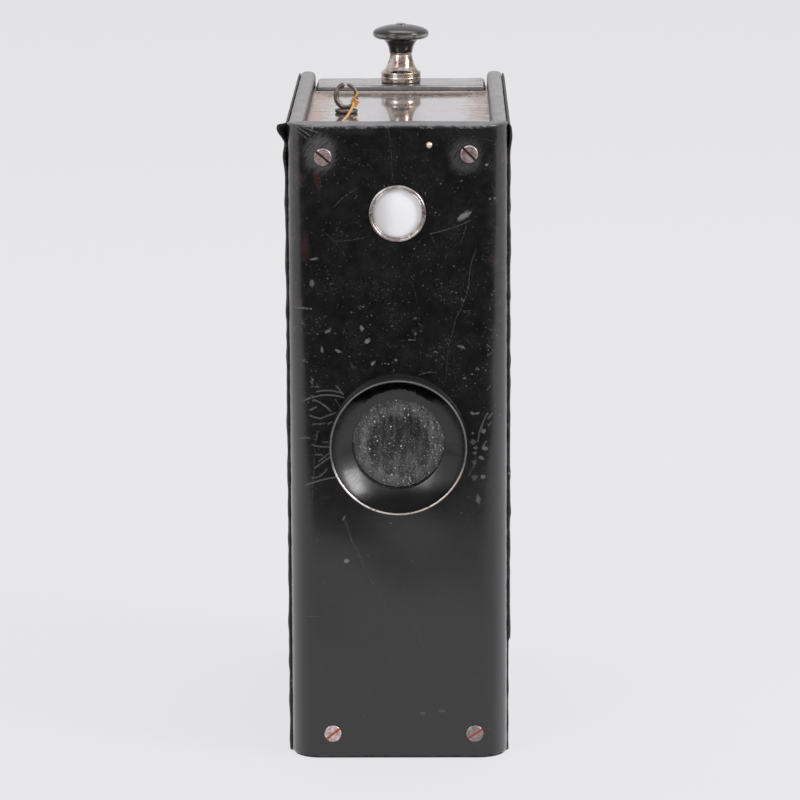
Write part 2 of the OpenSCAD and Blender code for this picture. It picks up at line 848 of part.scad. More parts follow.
module sheath(low, slot) {
    d = stack_d + slot * pitch;
    placed() difference() {
        translate([-half_side, d, low]) cube([sheath_side, sheath_t, sheath_side]);
        translate([-half_side + sheath_rim, d - 1, low + sheath_rim])
            cube([sheath_side - 2 * sheath_rim, 1 + plate_t + set_fit, sheath_side - 2 * sheath_rim]);
    }
}

module glass_plate(low, slot) {
    d = stack_d + slot * pitch;
    side = sheath_side - 2 * sheath_rim - 2 * run_fit;
    placed() translate([-side / 2, d + set_fit, low + half_side - side / 2])
        cube([side, plate_t - set_fit, side]);
}

module lower_sheaths() {
    color([0.12, 0.12, 0.12]) for (slot = [1:sheaths - 1]) sheath(lower_z, slot);
}

module lower_glass_plates() {
    color([0.75, 0.75, 0.68]) for (slot = [1:sheaths - 1]) glass_plate(lower_z, slot);
}

module upper_sheaths() {
    color([0.12, 0.12, 0.12]) for (slot = [1:sheaths]) sheath(upper_z, slot);
}

module upper_glass_plates() {
    color([0.75, 0.75, 0.68]) for (slot = [1:sheaths]) glass_plate(upper_z, slot);
}

module front_sheath() {
    color([0.12, 0.12, 0.12]) sheath(lower_z, 0);
}

module front_glass_plate() {
    color([0.75, 0.75, 0.68]) glass_plate(lower_z, 0);
}

module presser(d, low) {
    side = sheath_side - 0.4;
    placed() translate([-side / 2, d, low + 0.2]) cube([side, presser_t, side]);
}

module lower_pressure_plate() {
    color([0.5, 0.4, 0.24]) presser(lower_press_d, lower_z);
}

module upper_pressure_plate() {
    color([0.5, 0.4, 0.24]) presser(upper_press_d, upper_z);
}

// two bowed leaf springs: arcs of strip between a pressure plate and the magazine's back
module leaf_springs(d, low) {
    strip = 0.3;
    span = 26;
    rise = back_d - d - presser_t - 0.1;
    r = (pow(span / 2, 2) + pow(rise, 2)) / (2 * rise);
    placed() for (z = [0.25, 0.75])
        translate([0, d + presser_t + 0.05, low + z * sheath_side - 2]) linear_extrude(4)
            translate([0, r]) intersection() {
                difference() {
                    circle(r, $fn = 180);
                    circle(r - strip, $fn = 180);
                }
                translate([-span / 2, -r]) square([span, rise]);
            }
}

module lower_pressure_spring() {
    color([0.6, 0.55, 0.4]) leaf_springs(lower_press_d, lower_z);
}

module upper_pressure_spring() {
    color([0.6, 0.55, 0.4]) leaf_springs(upper_press_d, upper_z);
}

// sheet frame that holds the front sheath: a lip under it and an arm along each side
module plate_carrier() {
    color([0.6, 0.48, 0.27]) placed() {
        translate([-carrier_x, stack_d + 0.05, carrier_z]) cube([2 * carrier_x, sheath_t - 0.1, carrier_t]);
        for (side = [0, 1]) mirror([side, 0, 0])
            translate([carrier_x - tiny, stack_d + 0.05, carrier_z])
                cube([carrier_t + tiny, cross_end_d - stack_d - 0.05, carrier_h]);
    }
}

module rod_crosshead() {
    color([0.6, 0.48, 0.27]) placed() difference() {
        translate([-carrier_x + tiny, cross_d, carrier_z])
            cube([2 * (carrier_x - tiny), cross_end_d - cross_d, cross_h]);
        upright(0, rod_d) band(0, rod_r + set_fit, carrier_z + 1, carrier_z + cross_h + 1);
    }
}

// rod and knob

module changing_rod() {
    color([0.60, 0.60, 0.60]) placed() upright(0, rod_d) {
        band(0, rod_r, carrier_z + 1, ferrule_z);
        band(0, rod_tip_r, ferrule_z - tiny, cap_top_z + 0.35);
    }
}

module rod_bush() {
    color([0.35, 0.30, 0.20]) placed() upright(0, rod_d) {
        band(rod_r + run_fit, bush_r, top_under_z, rod_plate_z + tiny);
        band(rod_r + run_fit, ferrule_base_r - 0.6, rod_plate_z, rod_plate_z + bush_flange_h);
    }
}

// a band at the base, one hollow curve up to a slim waist, and a small bead at the top
module knob_ferrule() {
    waist_r = neck_r - 0.1;
    shoulder_r = ferrule_base_r - 0.35;
    rise = ferrule_h - ferrule_band_h;
    sweep_r = (pow(shoulder_r - waist_r, 2) + pow(rise, 2)) / (2 * (shoulder_r - waist_r));
    edge = 0.35;
    color([0.70, 0.62, 0.50]) placed() upright(0, rod_d) translate([0, ferrule_z]) difference() {
        union() {
            difference() {
                band(0, shoulder_r, 0, ferrule_h);
                intersection() {
                    translate([waist_r + sweep_r, ferrule_h]) circle(sweep_r, $fn = 180);
                    band(waist_r - 1, shoulder_r + 1, ferrule_band_h, ferrule_h + 1);
                }
            }
            band(0, ferrule_base_r, edge, ferrule_band_h - edge);
            band(0, ferrule_base_r - edge, 0, ferrule_band_h);
            translate([ferrule_base_r - edge, edge]) circle(edge);
            translate([ferrule_base_r - edge, ferrule_band_h - edge]) circle(edge);
            translate([waist_r, ferrule_h - 0.3]) circle(0.3);
        }
        band(-1, rod_tip_r + set_fit, -1, ferrule_h + 1);
    }
}

// mushroom cap: a low dome, a round rim and a hollow neck
module knob_cap() {
    rim_x = cap_r - cap_rim_r;
    dome_r = (pow(rim_x, 2) + pow(cap_dome_h - cap_rim_r, 2)) / (2 * (cap_dome_h - cap_rim_r));
    under_z = cap_neck_h;
    flare_r = neck_r + 1.4;
    sweep_r = (pow(flare_r - neck_r, 2) + pow(under_z, 2)) / (2 * (flare_r - neck_r));
    color([0.06, 0.05, 0.05]) placed() upright(0, rod_d) translate([0, cap_z]) difference() {
        union() {
            difference() {
                band(0, flare_r, 0, under_z + cap_rim_r);
                intersection() {
                    translate([neck_r + sweep_r, 0]) circle(sweep_r, $fn = 144);
                    band(neck_r - 1, flare_r + 1, -1, under_z);
                }
            }
            translate([rim_x, under_z + cap_rim_r]) circle(cap_rim_r);
            polygon([
                [0, under_z - 0.35], [flare_r, under_z - 0.35], [rim_x, under_z],
                [rim_x, under_z + 2 * cap_rim_r], [0, under_z + 2 * cap_rim_r]
            ]);
            intersection() {
                translate([0, under_z + cap_rim_r + cap_dome_h - dome_r]) circle(dome_r, $fn = 180);
                band(0, rim_x, under_z + 2 * cap_rim_r, under_z + cap_rim_r + cap_dome_h);
            }
        }
        band(-1, rod_tip_r + set_fit, -1, under_z + cap_rim_r + cap_dome_h + 1);
    }
}

// pull ring

// a split ring on a round foot with a stem: one heavy arm and one thin arm, open at the top
module pull_ring() {
    ring_z = top_z + ring_foot_h + ring_r;
    edge = ring_foot_h / 2;
    color([0.30, 0.29, 0.29]) placed() {
        upright(-ring_x, ring_d) {
            band(0, ring_foot_r - edge, top_z + 0.05, top_z + ring_foot_h);
            intersection() {
                translate([ring_foot_r - edge, top_z + edge]) circle(edge);
                band(0, ring_foot_r, top_z + 0.05, top_z + ring_foot_h);
            }
            band(0, stem_r, top_z - stem_l, top_z + 0.1);
        }
        translate([-ring_x, ring_d, ring_z + ring_wire_r / 2]) rotate([90, 0, 0]) {
            rotate([0, 0, 100]) rotate_extrude(angle = 170) translate([ring_r, 0]) circle(ring_wire_r);
            rotate([0, 0, -92]) rotate_extrude(angle = 166) translate([ring_r, 0]) circle(ring_thin_r);
        }
    }
}

// two turns of thread round the thin arm
module thread_knot() {
    ring_z = top_z + ring_foot_h + ring_r + ring_wire_r / 2;
    color([0.85, 0.60, 0.22]) placed() translate([-ring_x, ring_d, ring_z]) rotate([90, 0, 0])
        for (a = [-38, -24]) rotate([0, 0, a]) translate([ring_r, 0, 0]) rotate([90, 0, 0])
            rotate_extrude() translate([ring_thin_r + run_fit + thread_r, 0]) circle(thread_r);
}

module stem_socket() {
    color([0.35, 0.33, 0.32]) placed() upright(-ring_x, ring_d)
        band(stem_r + run_fit, stem_r + 0.8, top_under_z, top_z);
}

// fore-edge door

module rear_door() {
    color([0.09, 0.08, 0.08]) placed() difference() {
        along_height(door_low, door_high) translate([-door_x, door_d]) square([2 * door_x, door_t]);
        // finger notch in the free edge
        translate([door_x + 0.75 * notch_r, case_d, window_z - notch_drop]) rotate([90, 0, 0])
            cylinder(h = door_t, r = notch_r, center = true);
        // seat of the catch
        translate([door_x - 0.6, door_d - 1, window_z - catch_l / 2 - 0.05])
            cube([1, door_t, catch_l + 0.1]);
    }
}

// a sprung strip in the door's free edge with a round pip for the wall's dimple
module door_catch() {
    strip = 0.4;
    color([0.65, 0.53, 0.3]) placed() {
        translate([door_x - strip - 0.2, door_d + 0.1, window_z - catch_l / 2])
            cube([strip, door_t - 1.3, catch_l]);
        translate([door_x - 0.25, catch_d, window_z]) rotate([0, 90, 0])
            cylinder(h = 0.35, r = 0.7);
    }
}

// three knuckles a hinge: two on the case, one on the door
module knuckle(part) {
    third = hinge_l / 3;
    translate([-hinge_x, hinge_d, part * third + knuckle_gap / 2])
        difference() {
            cylinder(h = third - knuckle_gap, r = knuckle_r);
            translate([0, 0, -1]) cylinder(h = third + 1, r = hinge_pin_r + run_fit);
        }
}

module at_hinges() {
    for (z = [hinge_inset, case_h - hinge_inset - hinge_l]) placed() translate([0, 0, z]) children();
}

// a leaf from the face of the case or door to the side of its knuckle
module leaf(part, from, to) {
    third = hinge_l / 3;
    difference() {
        translate([from, case_d, part * third + knuckle_gap / 2])
            cube([to - from, leaf_t, third - knuckle_gap]);
        translate([-hinge_x, hinge_d, part * third - 1]) cylinder(h = third + 2, r = hinge_pin_r + 0.15);
    }
}

module hinge_case_leaves() {
    color([0.62, 0.52, 0.32]) at_hinges() for (part = [0, 2]) {
        knuckle(part);
        leaf(part, -case_w / 2 + 0.2, -hinge_x);
    }
}

module hinge_door_leaves() {
    color([0.62, 0.52, 0.32]) at_hinges() {
        knuckle(1);
        leaf(1, -hinge_x, -hinge_x + leaf_w);
    }
}

module hinge_pins() {
    color([0.6, 0.6, 0.6]) at_hinges()
        translate([-hinge_x, hinge_d, 0]) cylinder(h = hinge_l, r = hinge_pin_r);
}

spine_board();
spine_skin();
left_wall();
right_wall();
left_leather();
right_leather();
top_panel();
top_skin();
rod_plate();
bottom_panel();
spine_screws();
brass_pin();
lens_hood();
front_lens();
rear_lens();
lens_cell();
retaining_ring();
shutter_plate();
plate_pillars();
plate_screws();
pivot_stud();
return_spring();
spring_post();
finder_ring();
finder_lens();
finder_tube();
finder_screen();
finder_partition();
aperture_plate();
chamber_floor();
chamber_divider();
magazine_back();
lower_sheaths();
lower_glass_plates();
upper_sheaths();
upper_glass_plates();
lower_pressure_spring();
upper_pressure_spring();
stem_socket();
rod_bush();
hinge_case_leaves();
hinge_pins();
shutter_thread();
shutter_sector();
shutter_pulley();
pull_ring();
thread_knot();
changing_rod();
knob_cap();
knob_ferrule();
rod_crosshead();
plate_carrier();
front_sheath();
front_glass_plate();
lower_pressure_plate();
upper_pressure_plate();
rear_door();
hinge_door_leaves();
door_catch();
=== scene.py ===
import json
import math

import bmesh
import bpy
import numpy as np
from mathutils import Matrix, Vector


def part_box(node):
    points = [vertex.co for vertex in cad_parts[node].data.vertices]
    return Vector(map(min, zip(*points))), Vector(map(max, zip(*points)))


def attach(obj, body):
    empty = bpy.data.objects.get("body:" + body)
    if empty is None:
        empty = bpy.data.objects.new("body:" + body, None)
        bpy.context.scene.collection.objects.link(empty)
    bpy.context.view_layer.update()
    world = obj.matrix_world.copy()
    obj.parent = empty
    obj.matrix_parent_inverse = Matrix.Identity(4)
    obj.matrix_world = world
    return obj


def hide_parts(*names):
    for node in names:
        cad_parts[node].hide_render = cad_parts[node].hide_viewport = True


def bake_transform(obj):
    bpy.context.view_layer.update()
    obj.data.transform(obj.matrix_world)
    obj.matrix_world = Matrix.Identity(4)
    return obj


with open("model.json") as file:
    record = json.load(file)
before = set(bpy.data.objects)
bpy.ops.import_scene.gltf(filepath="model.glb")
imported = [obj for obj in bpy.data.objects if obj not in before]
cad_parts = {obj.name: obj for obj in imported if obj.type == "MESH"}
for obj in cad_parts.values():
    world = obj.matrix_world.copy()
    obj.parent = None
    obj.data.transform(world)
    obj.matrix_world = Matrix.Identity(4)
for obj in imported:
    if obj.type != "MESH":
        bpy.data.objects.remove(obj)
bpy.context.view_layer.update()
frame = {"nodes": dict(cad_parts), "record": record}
nodes = frame["nodes"]
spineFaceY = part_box("spine_skin")[0].y  # depths in this file count from the spine's face, in millimetres
hoodHeight = 74.15  # the lens axis over the table
finderHeight = 127.5
quarter = np.pi / 2
print("frame loaded:", len(nodes), "nodes")


def toRow(points):
    # millimetres across, deep and high, turned into the frame's metres
    row = np.asarray(points, dtype=float) * 0.001
    row[..., 1] += spineFaceY
    return row


def surface(points, closeRows=False, closeColumns=False, keep=None):
    # a grid of points in millimetres as (points, cells); keep is a mask of the cells that stay
    rows, columns = points.shape[:2]
    r, c = np.meshgrid(np.arange(rows if closeRows else rows - 1),
                       np.arange(columns if closeColumns else columns - 1), indexing="ij")
    r2, c2 = (r + 1) % rows, (c + 1) % columns
    cells = np.stack([r * columns + c, r * columns + c2, r2 * columns + c2, r2 * columns + c], -1)
    return toRow(points).reshape(-1, 3), cells.reshape(-1, 4) if keep is None else cells[keep]


def lathe(profile, steps, at, upright=False, closed=True):
    # each point of the profile is (radius, distance along the axis), turned through a full circle
    radius, along = np.hsplit(np.asarray(profile, dtype=float), 2)
    turn = np.linspace(0, 2 * np.pi, steps, endpoint=False)
    rings = [radius * np.cos(turn), along + 0 * turn, radius * np.sin(turn)]
    order = (0, 2, 1) if upright else (0, 1, 2)
    return surface(np.stack([rings[k] for k in order], -1) + at, closeRows=closed, closeColumns=True)


def softened(profile, times=2):
    # corner cutting on a closed line: every side keeps its middle half
    line = np.asarray(profile, dtype=float)
    for _ in range(times):
        after = np.roll(line, -1, axis=0)
        line = np.stack([0.75 * line + 0.25 * after, 0.25 * line + 0.75 * after], 1).reshape(-1, 2)
    return line


def curveThrough(points, steps):
    # Catmull-Rom curve: between two neighbours, a cubic whose ends head along the line of the outer two
    p = np.asarray(points, dtype=float)
    p = np.concatenate([2 * p[:1] - p[1:2], p, 2 * p[-1:] - p[-2:-1]])
    t = (np.arange(steps) / steps)[None, :, None]
    a, b, c, d = (p[k:len(p) - 3 + k][:, None] for k in range(4))
    line = 2 * b + (c - a) * t + (2 * a - 5 * b + 4 * c - d) * t ** 2 + (3 * b - 3 * c + d - a) * t ** 3
    return np.concatenate([0.5 * line.reshape(-1, p.shape[1]), p[-2:-1]])


def sweep(path, radius, side, sides, lobe=0.0, twist=0.0):
    # a ring of points round every point of the path, shrunk to round ends along a quarter circle;
    # the ring has three waves of height lobe, which turn by twist radians a millimetre
    path = np.asarray(path, dtype=float)
    radius = np.zeros(len(path)) + radius
    run = np.concatenate([[0], np.cumsum(np.linalg.norm(np.diff(path, axis=0), axis=1))])
    nearEnd = np.minimum(np.minimum(run / radius, (run[-1] - run) / radius), 1)
    radius = radius * np.sqrt(np.clip(1 - (1 - nearEnd) ** 2, 0, 1))
    heading = np.gradient(path, axis=0)
    heading /= np.linalg.norm(heading, axis=1, keepdims=True)
    side = np.zeros_like(path) + np.asarray(side, dtype=float)
    side = side - (side * heading).sum(1, keepdims=True) * heading
    side /= np.linalg.norm(side, axis=1, keepdims=True)
    other = np.cross(heading, side)
    turn = np.linspace(0, 2 * np.pi, sides, endpoint=False)[None, :]
    reach = radius[:, None] * (1 + lobe * np.cos(3 * turn - twist * run[:, None]))
    around = np.cos(turn)[..., None] * side[:, None] + np.sin(turn)[..., None] * other[:, None]
    return surface(path[:, None] + reach[..., None] * around, closeColumns=True)


def ripple(seed, waves, low, high, *axes):
    # sum of sine waves with seeded directions and phases, one value for every point, about -1 to 1
    rng = np.random.default_rng(seed)
    total = 0
    for _ in range(waves):
        angle = sum(axis * rng.uniform(low, high) * rng.choice([-1, 1]) for axis in axes)
        total = total + np.sin(angle + rng.uniform(0, 2 * np.pi))
    return total / math.sqrt(waves)


def smoothStep(low, high, value):
    t = np.clip((value - low) / (high - low), 0, 1)
    return t * t * (3 - 2 * t)


def roundOff(gap, size):
    # 1 at an edge, falling along a quarter circle to 0 where the gap to the edge reaches the size
    return 1 - np.sqrt(np.clip(1 - (1 - np.clip(gap / size, 0, 1)) ** 2, 0, 1))


def dome(radius, curve):
    # how far a ball of the radius of curvature falls away at a distance from its top
    return curve - np.sqrt(curve ** 2 - radius ** 2)


def bell(value, middle, width):
    return np.exp(-((value - middle) / width) ** 2)


def piece(name, parts, look, body, replaced=(), sharp=50, solid=True):
    # puts the parts' points and cells into one mesh, closes seams and poles, and hangs it on its body
    points = np.concatenate([part[0] for part in parts])
    starts = np.cumsum([0] + [len(part[0]) for part in parts[:-1]])
    quads = np.concatenate([part[1] + start for part, start in zip(parts, starts)])
    mesh = bpy.data.meshes.new(name)
    mesh.vertices.add(len(points))
    mesh.vertices.foreach_set("co", points.astype(np.float32).ravel())
    mesh.loops.add(quads.size)
    mesh.loops.foreach_set("vertex_index", quads.astype(np.int32).ravel())
    mesh.polygons.add(len(quads))
    mesh.polygons.foreach_set("loop_start", np.arange(0, quads.size, 4, dtype=np.int32))
    mesh.update(calc_edges=True)
    tidy = bmesh.new()
    tidy.from_mesh(mesh)
    bmesh.ops.remove_doubles(tidy, verts=tidy.verts, dist=1e-6)
    bmesh.ops.dissolve_degenerate(tidy, edges=tidy.edges, dist=1e-7)
    if solid:
        openEdges = [edge for edge in tidy.edges if edge.is_boundary]
        if openEdges:
            bmesh.ops.holes_fill(tidy, edges=openEdges, sides=0)
        bmesh.ops.recalc_face_normals(tidy, faces=tidy.faces)
    tidy.to_mesh(mesh)
    tidy.free()
    mesh.shade_smooth()
    mesh.set_sharp_from_angle(angle=math.radians(sharp))
    mesh.materials.append(finish[look])
    made = bpy.data.objects.new(name, mesh)
    bpy.context.scene.collection.objects.link(made)
    if body:
        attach(made, body)
    if replaced:
        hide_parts(*replaced)
    return made


def faceForwards(made, cell):
    # an open sheet is turned over if one of its cells looks to the rear
    if made.data.polygons[cell].normal.y > 0:
        made.data.flip_normals()


class Wire:
    # a node's output, with which formulas are written: + - * / and, for the larger of two, |
    def __init__(self, socket):
        self.socket = socket
        self.tree = socket.id_data
        self.isVector = socket.type in ("VECTOR", "RGBA")

    def __add__(self, other):
        return calc("ADD", self, other)

    def __sub__(self, other):
        return calc("SUBTRACT", self, other)

    def __rsub__(self, other):
        return calc("SUBTRACT", other, self)

    def __mul__(self, other):
        return calc("MULTIPLY", self, other)

    def __truediv__(self, other):
        return calc("DIVIDE", self, other)

    def __or__(self, other):
        return calc("MAXIMUM", self, other)

    def __ror__(self, other):
        return calc("MAXIMUM", other, self)


def fill(socket, value):
    # a wire is linked, and a colour gets its alpha
    if isinstance(value, Wire):
        value.tree.links.new(value.socket, socket)
    elif socket.type == "RGBA":
        socket.default_value = (*value, 1)
    else:
        socket.default_value = value


def addNode(tree, kind, sockets=None, **settings):
    made = tree.nodes.new(kind)
    for key, value in settings.items():
        setattr(made, key, value)
    for key, value in (sockets or {}).items():
        fill(made.inputs[key], value)
    return made


def calc(operation, *values, clamp=False):
    # a maths node, of the vector kind where one of the values is a vector
    wires = [value for value in values if isinstance(value, Wire)]
    sockets = dict(enumerate(values))
    if any(wire.isVector for wire in wires) or any(isinstance(value, tuple) for value in values):
        made = addNode(wires[0].tree, "ShaderNodeVectorMath", sockets, operation=operation)
        return Wire(made.outputs["Value" if operation in ("LENGTH", "DOT_PRODUCT", "DISTANCE") else "Vector"])
    made = addNode(wires[0].tree, "ShaderNodeMath", sockets, operation=operation, use_clamp=clamp)
    return Wire(made.outputs[0])


def shade(tree, kind, sockets=None, output=0, **settings):
    # a node of which one output is used
    return Wire(addNode(tree, kind, sockets, **settings).outputs[output])


def scaled(vector, factor):
    return shade(vector.tree, "ShaderNodeVectorMath", {0: vector, 3: factor}, operation="SCALE")


def turned(vector, angle):
    # about the axis that points into the spine
    return shade(vector.tree, "ShaderNodeVectorRotate", {"Vector": vector, "Angle": angle},
                 rotation_type="Y_AXIS")


def separate(vector):
    return [Wire(socket) for socket in addNode(vector.tree, "ShaderNodeSeparateXYZ", {0: vector}).outputs]


def fade(value, low, high, start=0.0, end=1.0, smooth=True):
    # from start where the value is low to end where it is high
    return shade(value.tree, "ShaderNodeMapRange", {0: value, 1: low, 2: high, 3: start, 4: end},
                 interpolation_type="SMOOTHSTEP" if smooth else "LINEAR")


def rest(mask):
    return calc("SUBTRACT", 1.0, mask, clamp=True)


def paint(mask, under, over):
    return shade(mask.tree, "ShaderNodeMix", {0: mask, 6: under, 7: over}, 2, data_type="RGBA")


def mixValue(mask, under, over):
    return shade(mask.tree, "ShaderNodeMix", {0: mask, 2: under, 3: over}, data_type="FLOAT")


def noise(vector, scale, detail=3.0, rough=0.5, twist=0.0, output=0):
    return shade(vector.tree, "ShaderNodeTexNoise", {"Vector": vector, "Scale": scale, "Detail": detail,
                                                     "Roughness": rough, "Distortion": twist}, output)


def newMaterial(name, **values):
    # a Principled surface with its plain values
    material = bpy.data.materials.new(name)
    material.use_nodes = True
    feed(material, **values)
    return material


def feed(material, **values):
    # the shader's sockets by name, with an underscore for each space
    shader = material.node_tree.nodes["Principled BSDF"]
    for key, value in values.items():
        fill(shader.inputs[key.replace("_", " ")], value)


def millimetres(material):
    # the object's own coordinates as millimetres across, deep and high
    place = shade(material.node_tree, "ShaderNodeTexCoord", output="Object")
    return shade(place.tree, "ShaderNodeMapping", {"Vector": place, "Location": (0, -1000 * spineFaceY, 0),
                                                   "Scale": (1000, 1000, 1000)})


def bumps(material, *layers):
    # each layer is its height, the millimetres of a full step and its strength, and lies on the one before
    under = {}
    for height, deep, strength in layers:
        sockets = {"Height": height, "Distance": deep * 0.001, "Strength": strength, **under}
        under = {"Normal": shade(material.node_tree, "ShaderNodeBump", sockets)}
    feed(material, **under)


def newGroup(name, outputs, **inputs):
    # a shared effect with its inputs' plain values; a tuple makes a vector input
    tree = bpy.data.node_groups.new(name, "ShaderNodeTree")
    for label, value in inputs.items():
        kind = "NodeSocketVector" if isinstance(value, tuple) else "NodeSocketFloat"
        tree.interface.new_socket(name=label, in_out="INPUT", socket_type=kind).default_value = value
    for label in outputs:
        tree.interface.new_socket(name=label, in_out="OUTPUT", socket_type="NodeSocketFloat")
    given = tree.nodes.new("NodeGroupInput").outputs
    return tree, [Wire(given[label]) for label in inputs]


def closeGroup(tree, *values):
    for value, socket in zip(values, tree.nodes.new("NodeGroupOutput").inputs):
        fill(socket, value)
    return tree


def useGroup(group, place, **sockets):
    made = addNode(place.tree, "ShaderNodeGroup", {"Place": place, **sockets}, node_tree=group)
    return [Wire(socket) for socket in made.outputs]


origin = (0, 0, 0)


def makeStroke():
    # distance from a line between two points on the spine's face, bowed sideways by 4t(1-t) of its bend
    tree, (place, start, end, bend, width, grain, broken) = newGroup(
        "strokeMark", ["Mask"], Place=origin, From=origin, To=origin,
        Bend=0.0, Width=0.2, Grain=0.5, Broken=0.4)
    flat = place * (1, 0, 1)
    along = end - start
    share = calc("DIVIDE", calc("DOT_PRODUCT", flat - start, along),
                 calc("DOT_PRODUCT", along, along), clamp=True)
    side = calc("NORMALIZE", calc("CROSS_PRODUCT", along, (0, 1, 0)))
    bow = share * (1.0 - share) * 4.0 * bend
    away = calc("DISTANCE", flat, start + scaled(along, share) + scaled(side, bow))
    core = fade(away, width * 0.5, width, 1.0, 0.0)
    return closeGroup(tree, core * fade(grain, broken, broken + 0.3, smooth=False))


def makePatch():
    # an ellipse about a centre, turned in the face's plane, with an edge broken by the grain
    tree, (place, centre, size, turn, grain, ragged) = newGroup(
        "patchMark", ["Mask"], Place=origin, Centre=origin, Size=(1, 1, 1), Turn=0.0, Grain=0.5, Ragged=1.0)
    away = calc("LENGTH", turned((place - centre) * (1, 0, 1), turn) / size)
    return closeGroup(tree, fade(away + (grain - 0.5) * (ragged * 2.0), 0.55, 1.0, 1.0, 0.0))


def makeHairlines():
    # noise drawn out along one direction, of which only the crests count
    tree, (place, turn, fine, amount) = newGroup(
        "hairlines", ["Mask"], Place=origin, Turn=0.0, Fine=1.0, Amount=0.5)
    lines = noise(turned(place, turn) * (3.2, 1.0, 0.07), fine, 1.5, 0.5, 0.15)
    areas = noise(place, 0.11, 2.0)
    limit = 0.86 - amount * 0.2
    crest = fade(lines, limit, limit + 0.05, smooth=False)
    return closeGroup(tree, crest * fade(areas, 0.45, 0.62))


def makeSpecks():
    # small round specks in some of the cells of a cell pattern
    tree, (place, density, size, share) = newGroup(
        "specks", ["Mask"], Place=origin, Density=1.0, Size=0.12, Share=0.3)
    cells = addNode(tree, "ShaderNodeTexVoronoi", {"Vector": place, "Scale": density, "Randomness": 1.0})
    pick = addNode(tree, "ShaderNodeTexWhiteNoise", {"Vector": Wire(cells.outputs["Position"])},
                   noise_dimensions="3D")
    reach = size * density
    dot = fade(Wire(cells.outputs["Distance"]), reach * 0.5, reach, 1.0, 0.0, smooth=False)
    return closeGroup(tree, dot * calc("LESS_THAN", Wire(pick.outputs[0]), share))


def makeGrain():
    # leather cells of about the given size: raised cushions with creases between them
    tree, (place, cell) = newGroup("leatherGrain", ["Height", "Crease"], Place=origin, Cell=0.9)
    moved = place + noise(place, 0.6, 2.0, output=1) * (1.3, 1.3, 1.3)
    cells = addNode(tree, "ShaderNodeTexVoronoi", {"Vector": moved, "Scale": calc("DIVIDE", 1.0, cell),
                                                   "Randomness": 1.0}, feature="DISTANCE_TO_EDGE")
    toEdge = Wire(cells.outputs["Distance"])
    fine = noise(place, 3.5, 3.0, 0.6)
    return closeGroup(tree, fade(toEdge, 0.0, 0.32) + fine * 0.3, fade(toEdge, 0.02, 0.14, 1.0, 0.0))


strokeMark, patchMark, hairlines = makeStroke(), makePatch(), makeHairlines()
specks, leatherGrain = makeSpecks(), makeGrain()
print("shared effects ready")


view = {"across": 9.86, "front": 965.1, "high": 273.67, "pitch": 11.087, "lens": 194.265,
        "heading": (-0.0098, 0.99995), "roll": 0.0039}


def makeCamera():
    pitch = math.radians(view["pitch"])
    level = [share * math.cos(pitch) for share in view["heading"]]
    ahead = Vector((*level, -math.sin(pitch))).normalized()
    right = ahead.cross(Vector((0, 0, 1))).normalized()
    up = right.cross(ahead)
    right, up = (right - view["roll"] * up).normalized(), (up + view["roll"] * right).normalized()
    data = bpy.data.cameras.new("photoCamera")
    data.lens, data.sensor_width = view["lens"], 36.0
    data.clip_start, data.clip_end = 0.05, 50.0
    made = bpy.data.objects.new("photoCamera", data)
    bpy.context.scene.collection.objects.link(made)
    place = Vector(toRow((view["across"], -view["front"], view["high"])))
    made.matrix_world = Matrix.Translation(place) @ Matrix((right, up, -ahead)).transposed().to_4x4()
    bpy.context.scene.camera = made


light = {"pale": (0.80, 0.793, 0.82), "room": 0.42, "shadow": 0.10, "tableFront": 236.0}
lamps = [
    {"name": "keyBox", "place": (1.3, -0.62, 0.87), "size": (0.6, 0.8), "watts": 17},
    {"name": "fillBox", "place": (-1.0, -1.35, 0.95), "size": (0.6, 0.9), "watts": 9},
    {"name": "topBox", "place": (0.1, 0.35, 1.5), "size": (1.2, 0.9), "watts": 10},
]


def seenDirectly(tree):
    # 1 for rays that come from the camera or from a reflection or through glass
    ray = addNode(tree, "ShaderNodeLightPath").outputs
    return Wire(ray["Is Camera Ray"]) | Wire(ray["Is Glossy Ray"]) | Wire(ray["Is Transmission Ray"])


def mixShaders(tree, mask, under, over):
    return shade(tree, "ShaderNodeMixShader", {0: mask, 1: under, 2: over})


def makeWorld():
    world = bpy.data.worlds.new("studio")
    bpy.context.scene.world = world
    world.use_nodes = True
    tree = world.node_tree
    tree.nodes.clear()
    seen = seenDirectly(tree)
    room = shade(tree, "ShaderNodeBackground", {"Color": (1, 1, 1), "Strength": light["room"]})
    pale = shade(tree, "ShaderNodeBackground", {"Color": light["pale"], "Strength": 1.0})
    addNode(tree, "ShaderNodeOutputWorld", {"Surface": mixShaders(tree, seen, room, pale)})


def stagePlane(name, low, high, z, material):
    mesh = bpy.data.meshes.new(name)
    mesh.from_pydata([(low[0], low[1], z), (high[0], low[1], z), (high[0], high[1], z), (low[0], high[1], z)],
                     [], [(0, 1, 2, 3)])
    mesh.materials.append(material)
    made = bpy.data.objects.new(name, mesh)
    bpy.context.scene.collection.objects.link(made)
    return made


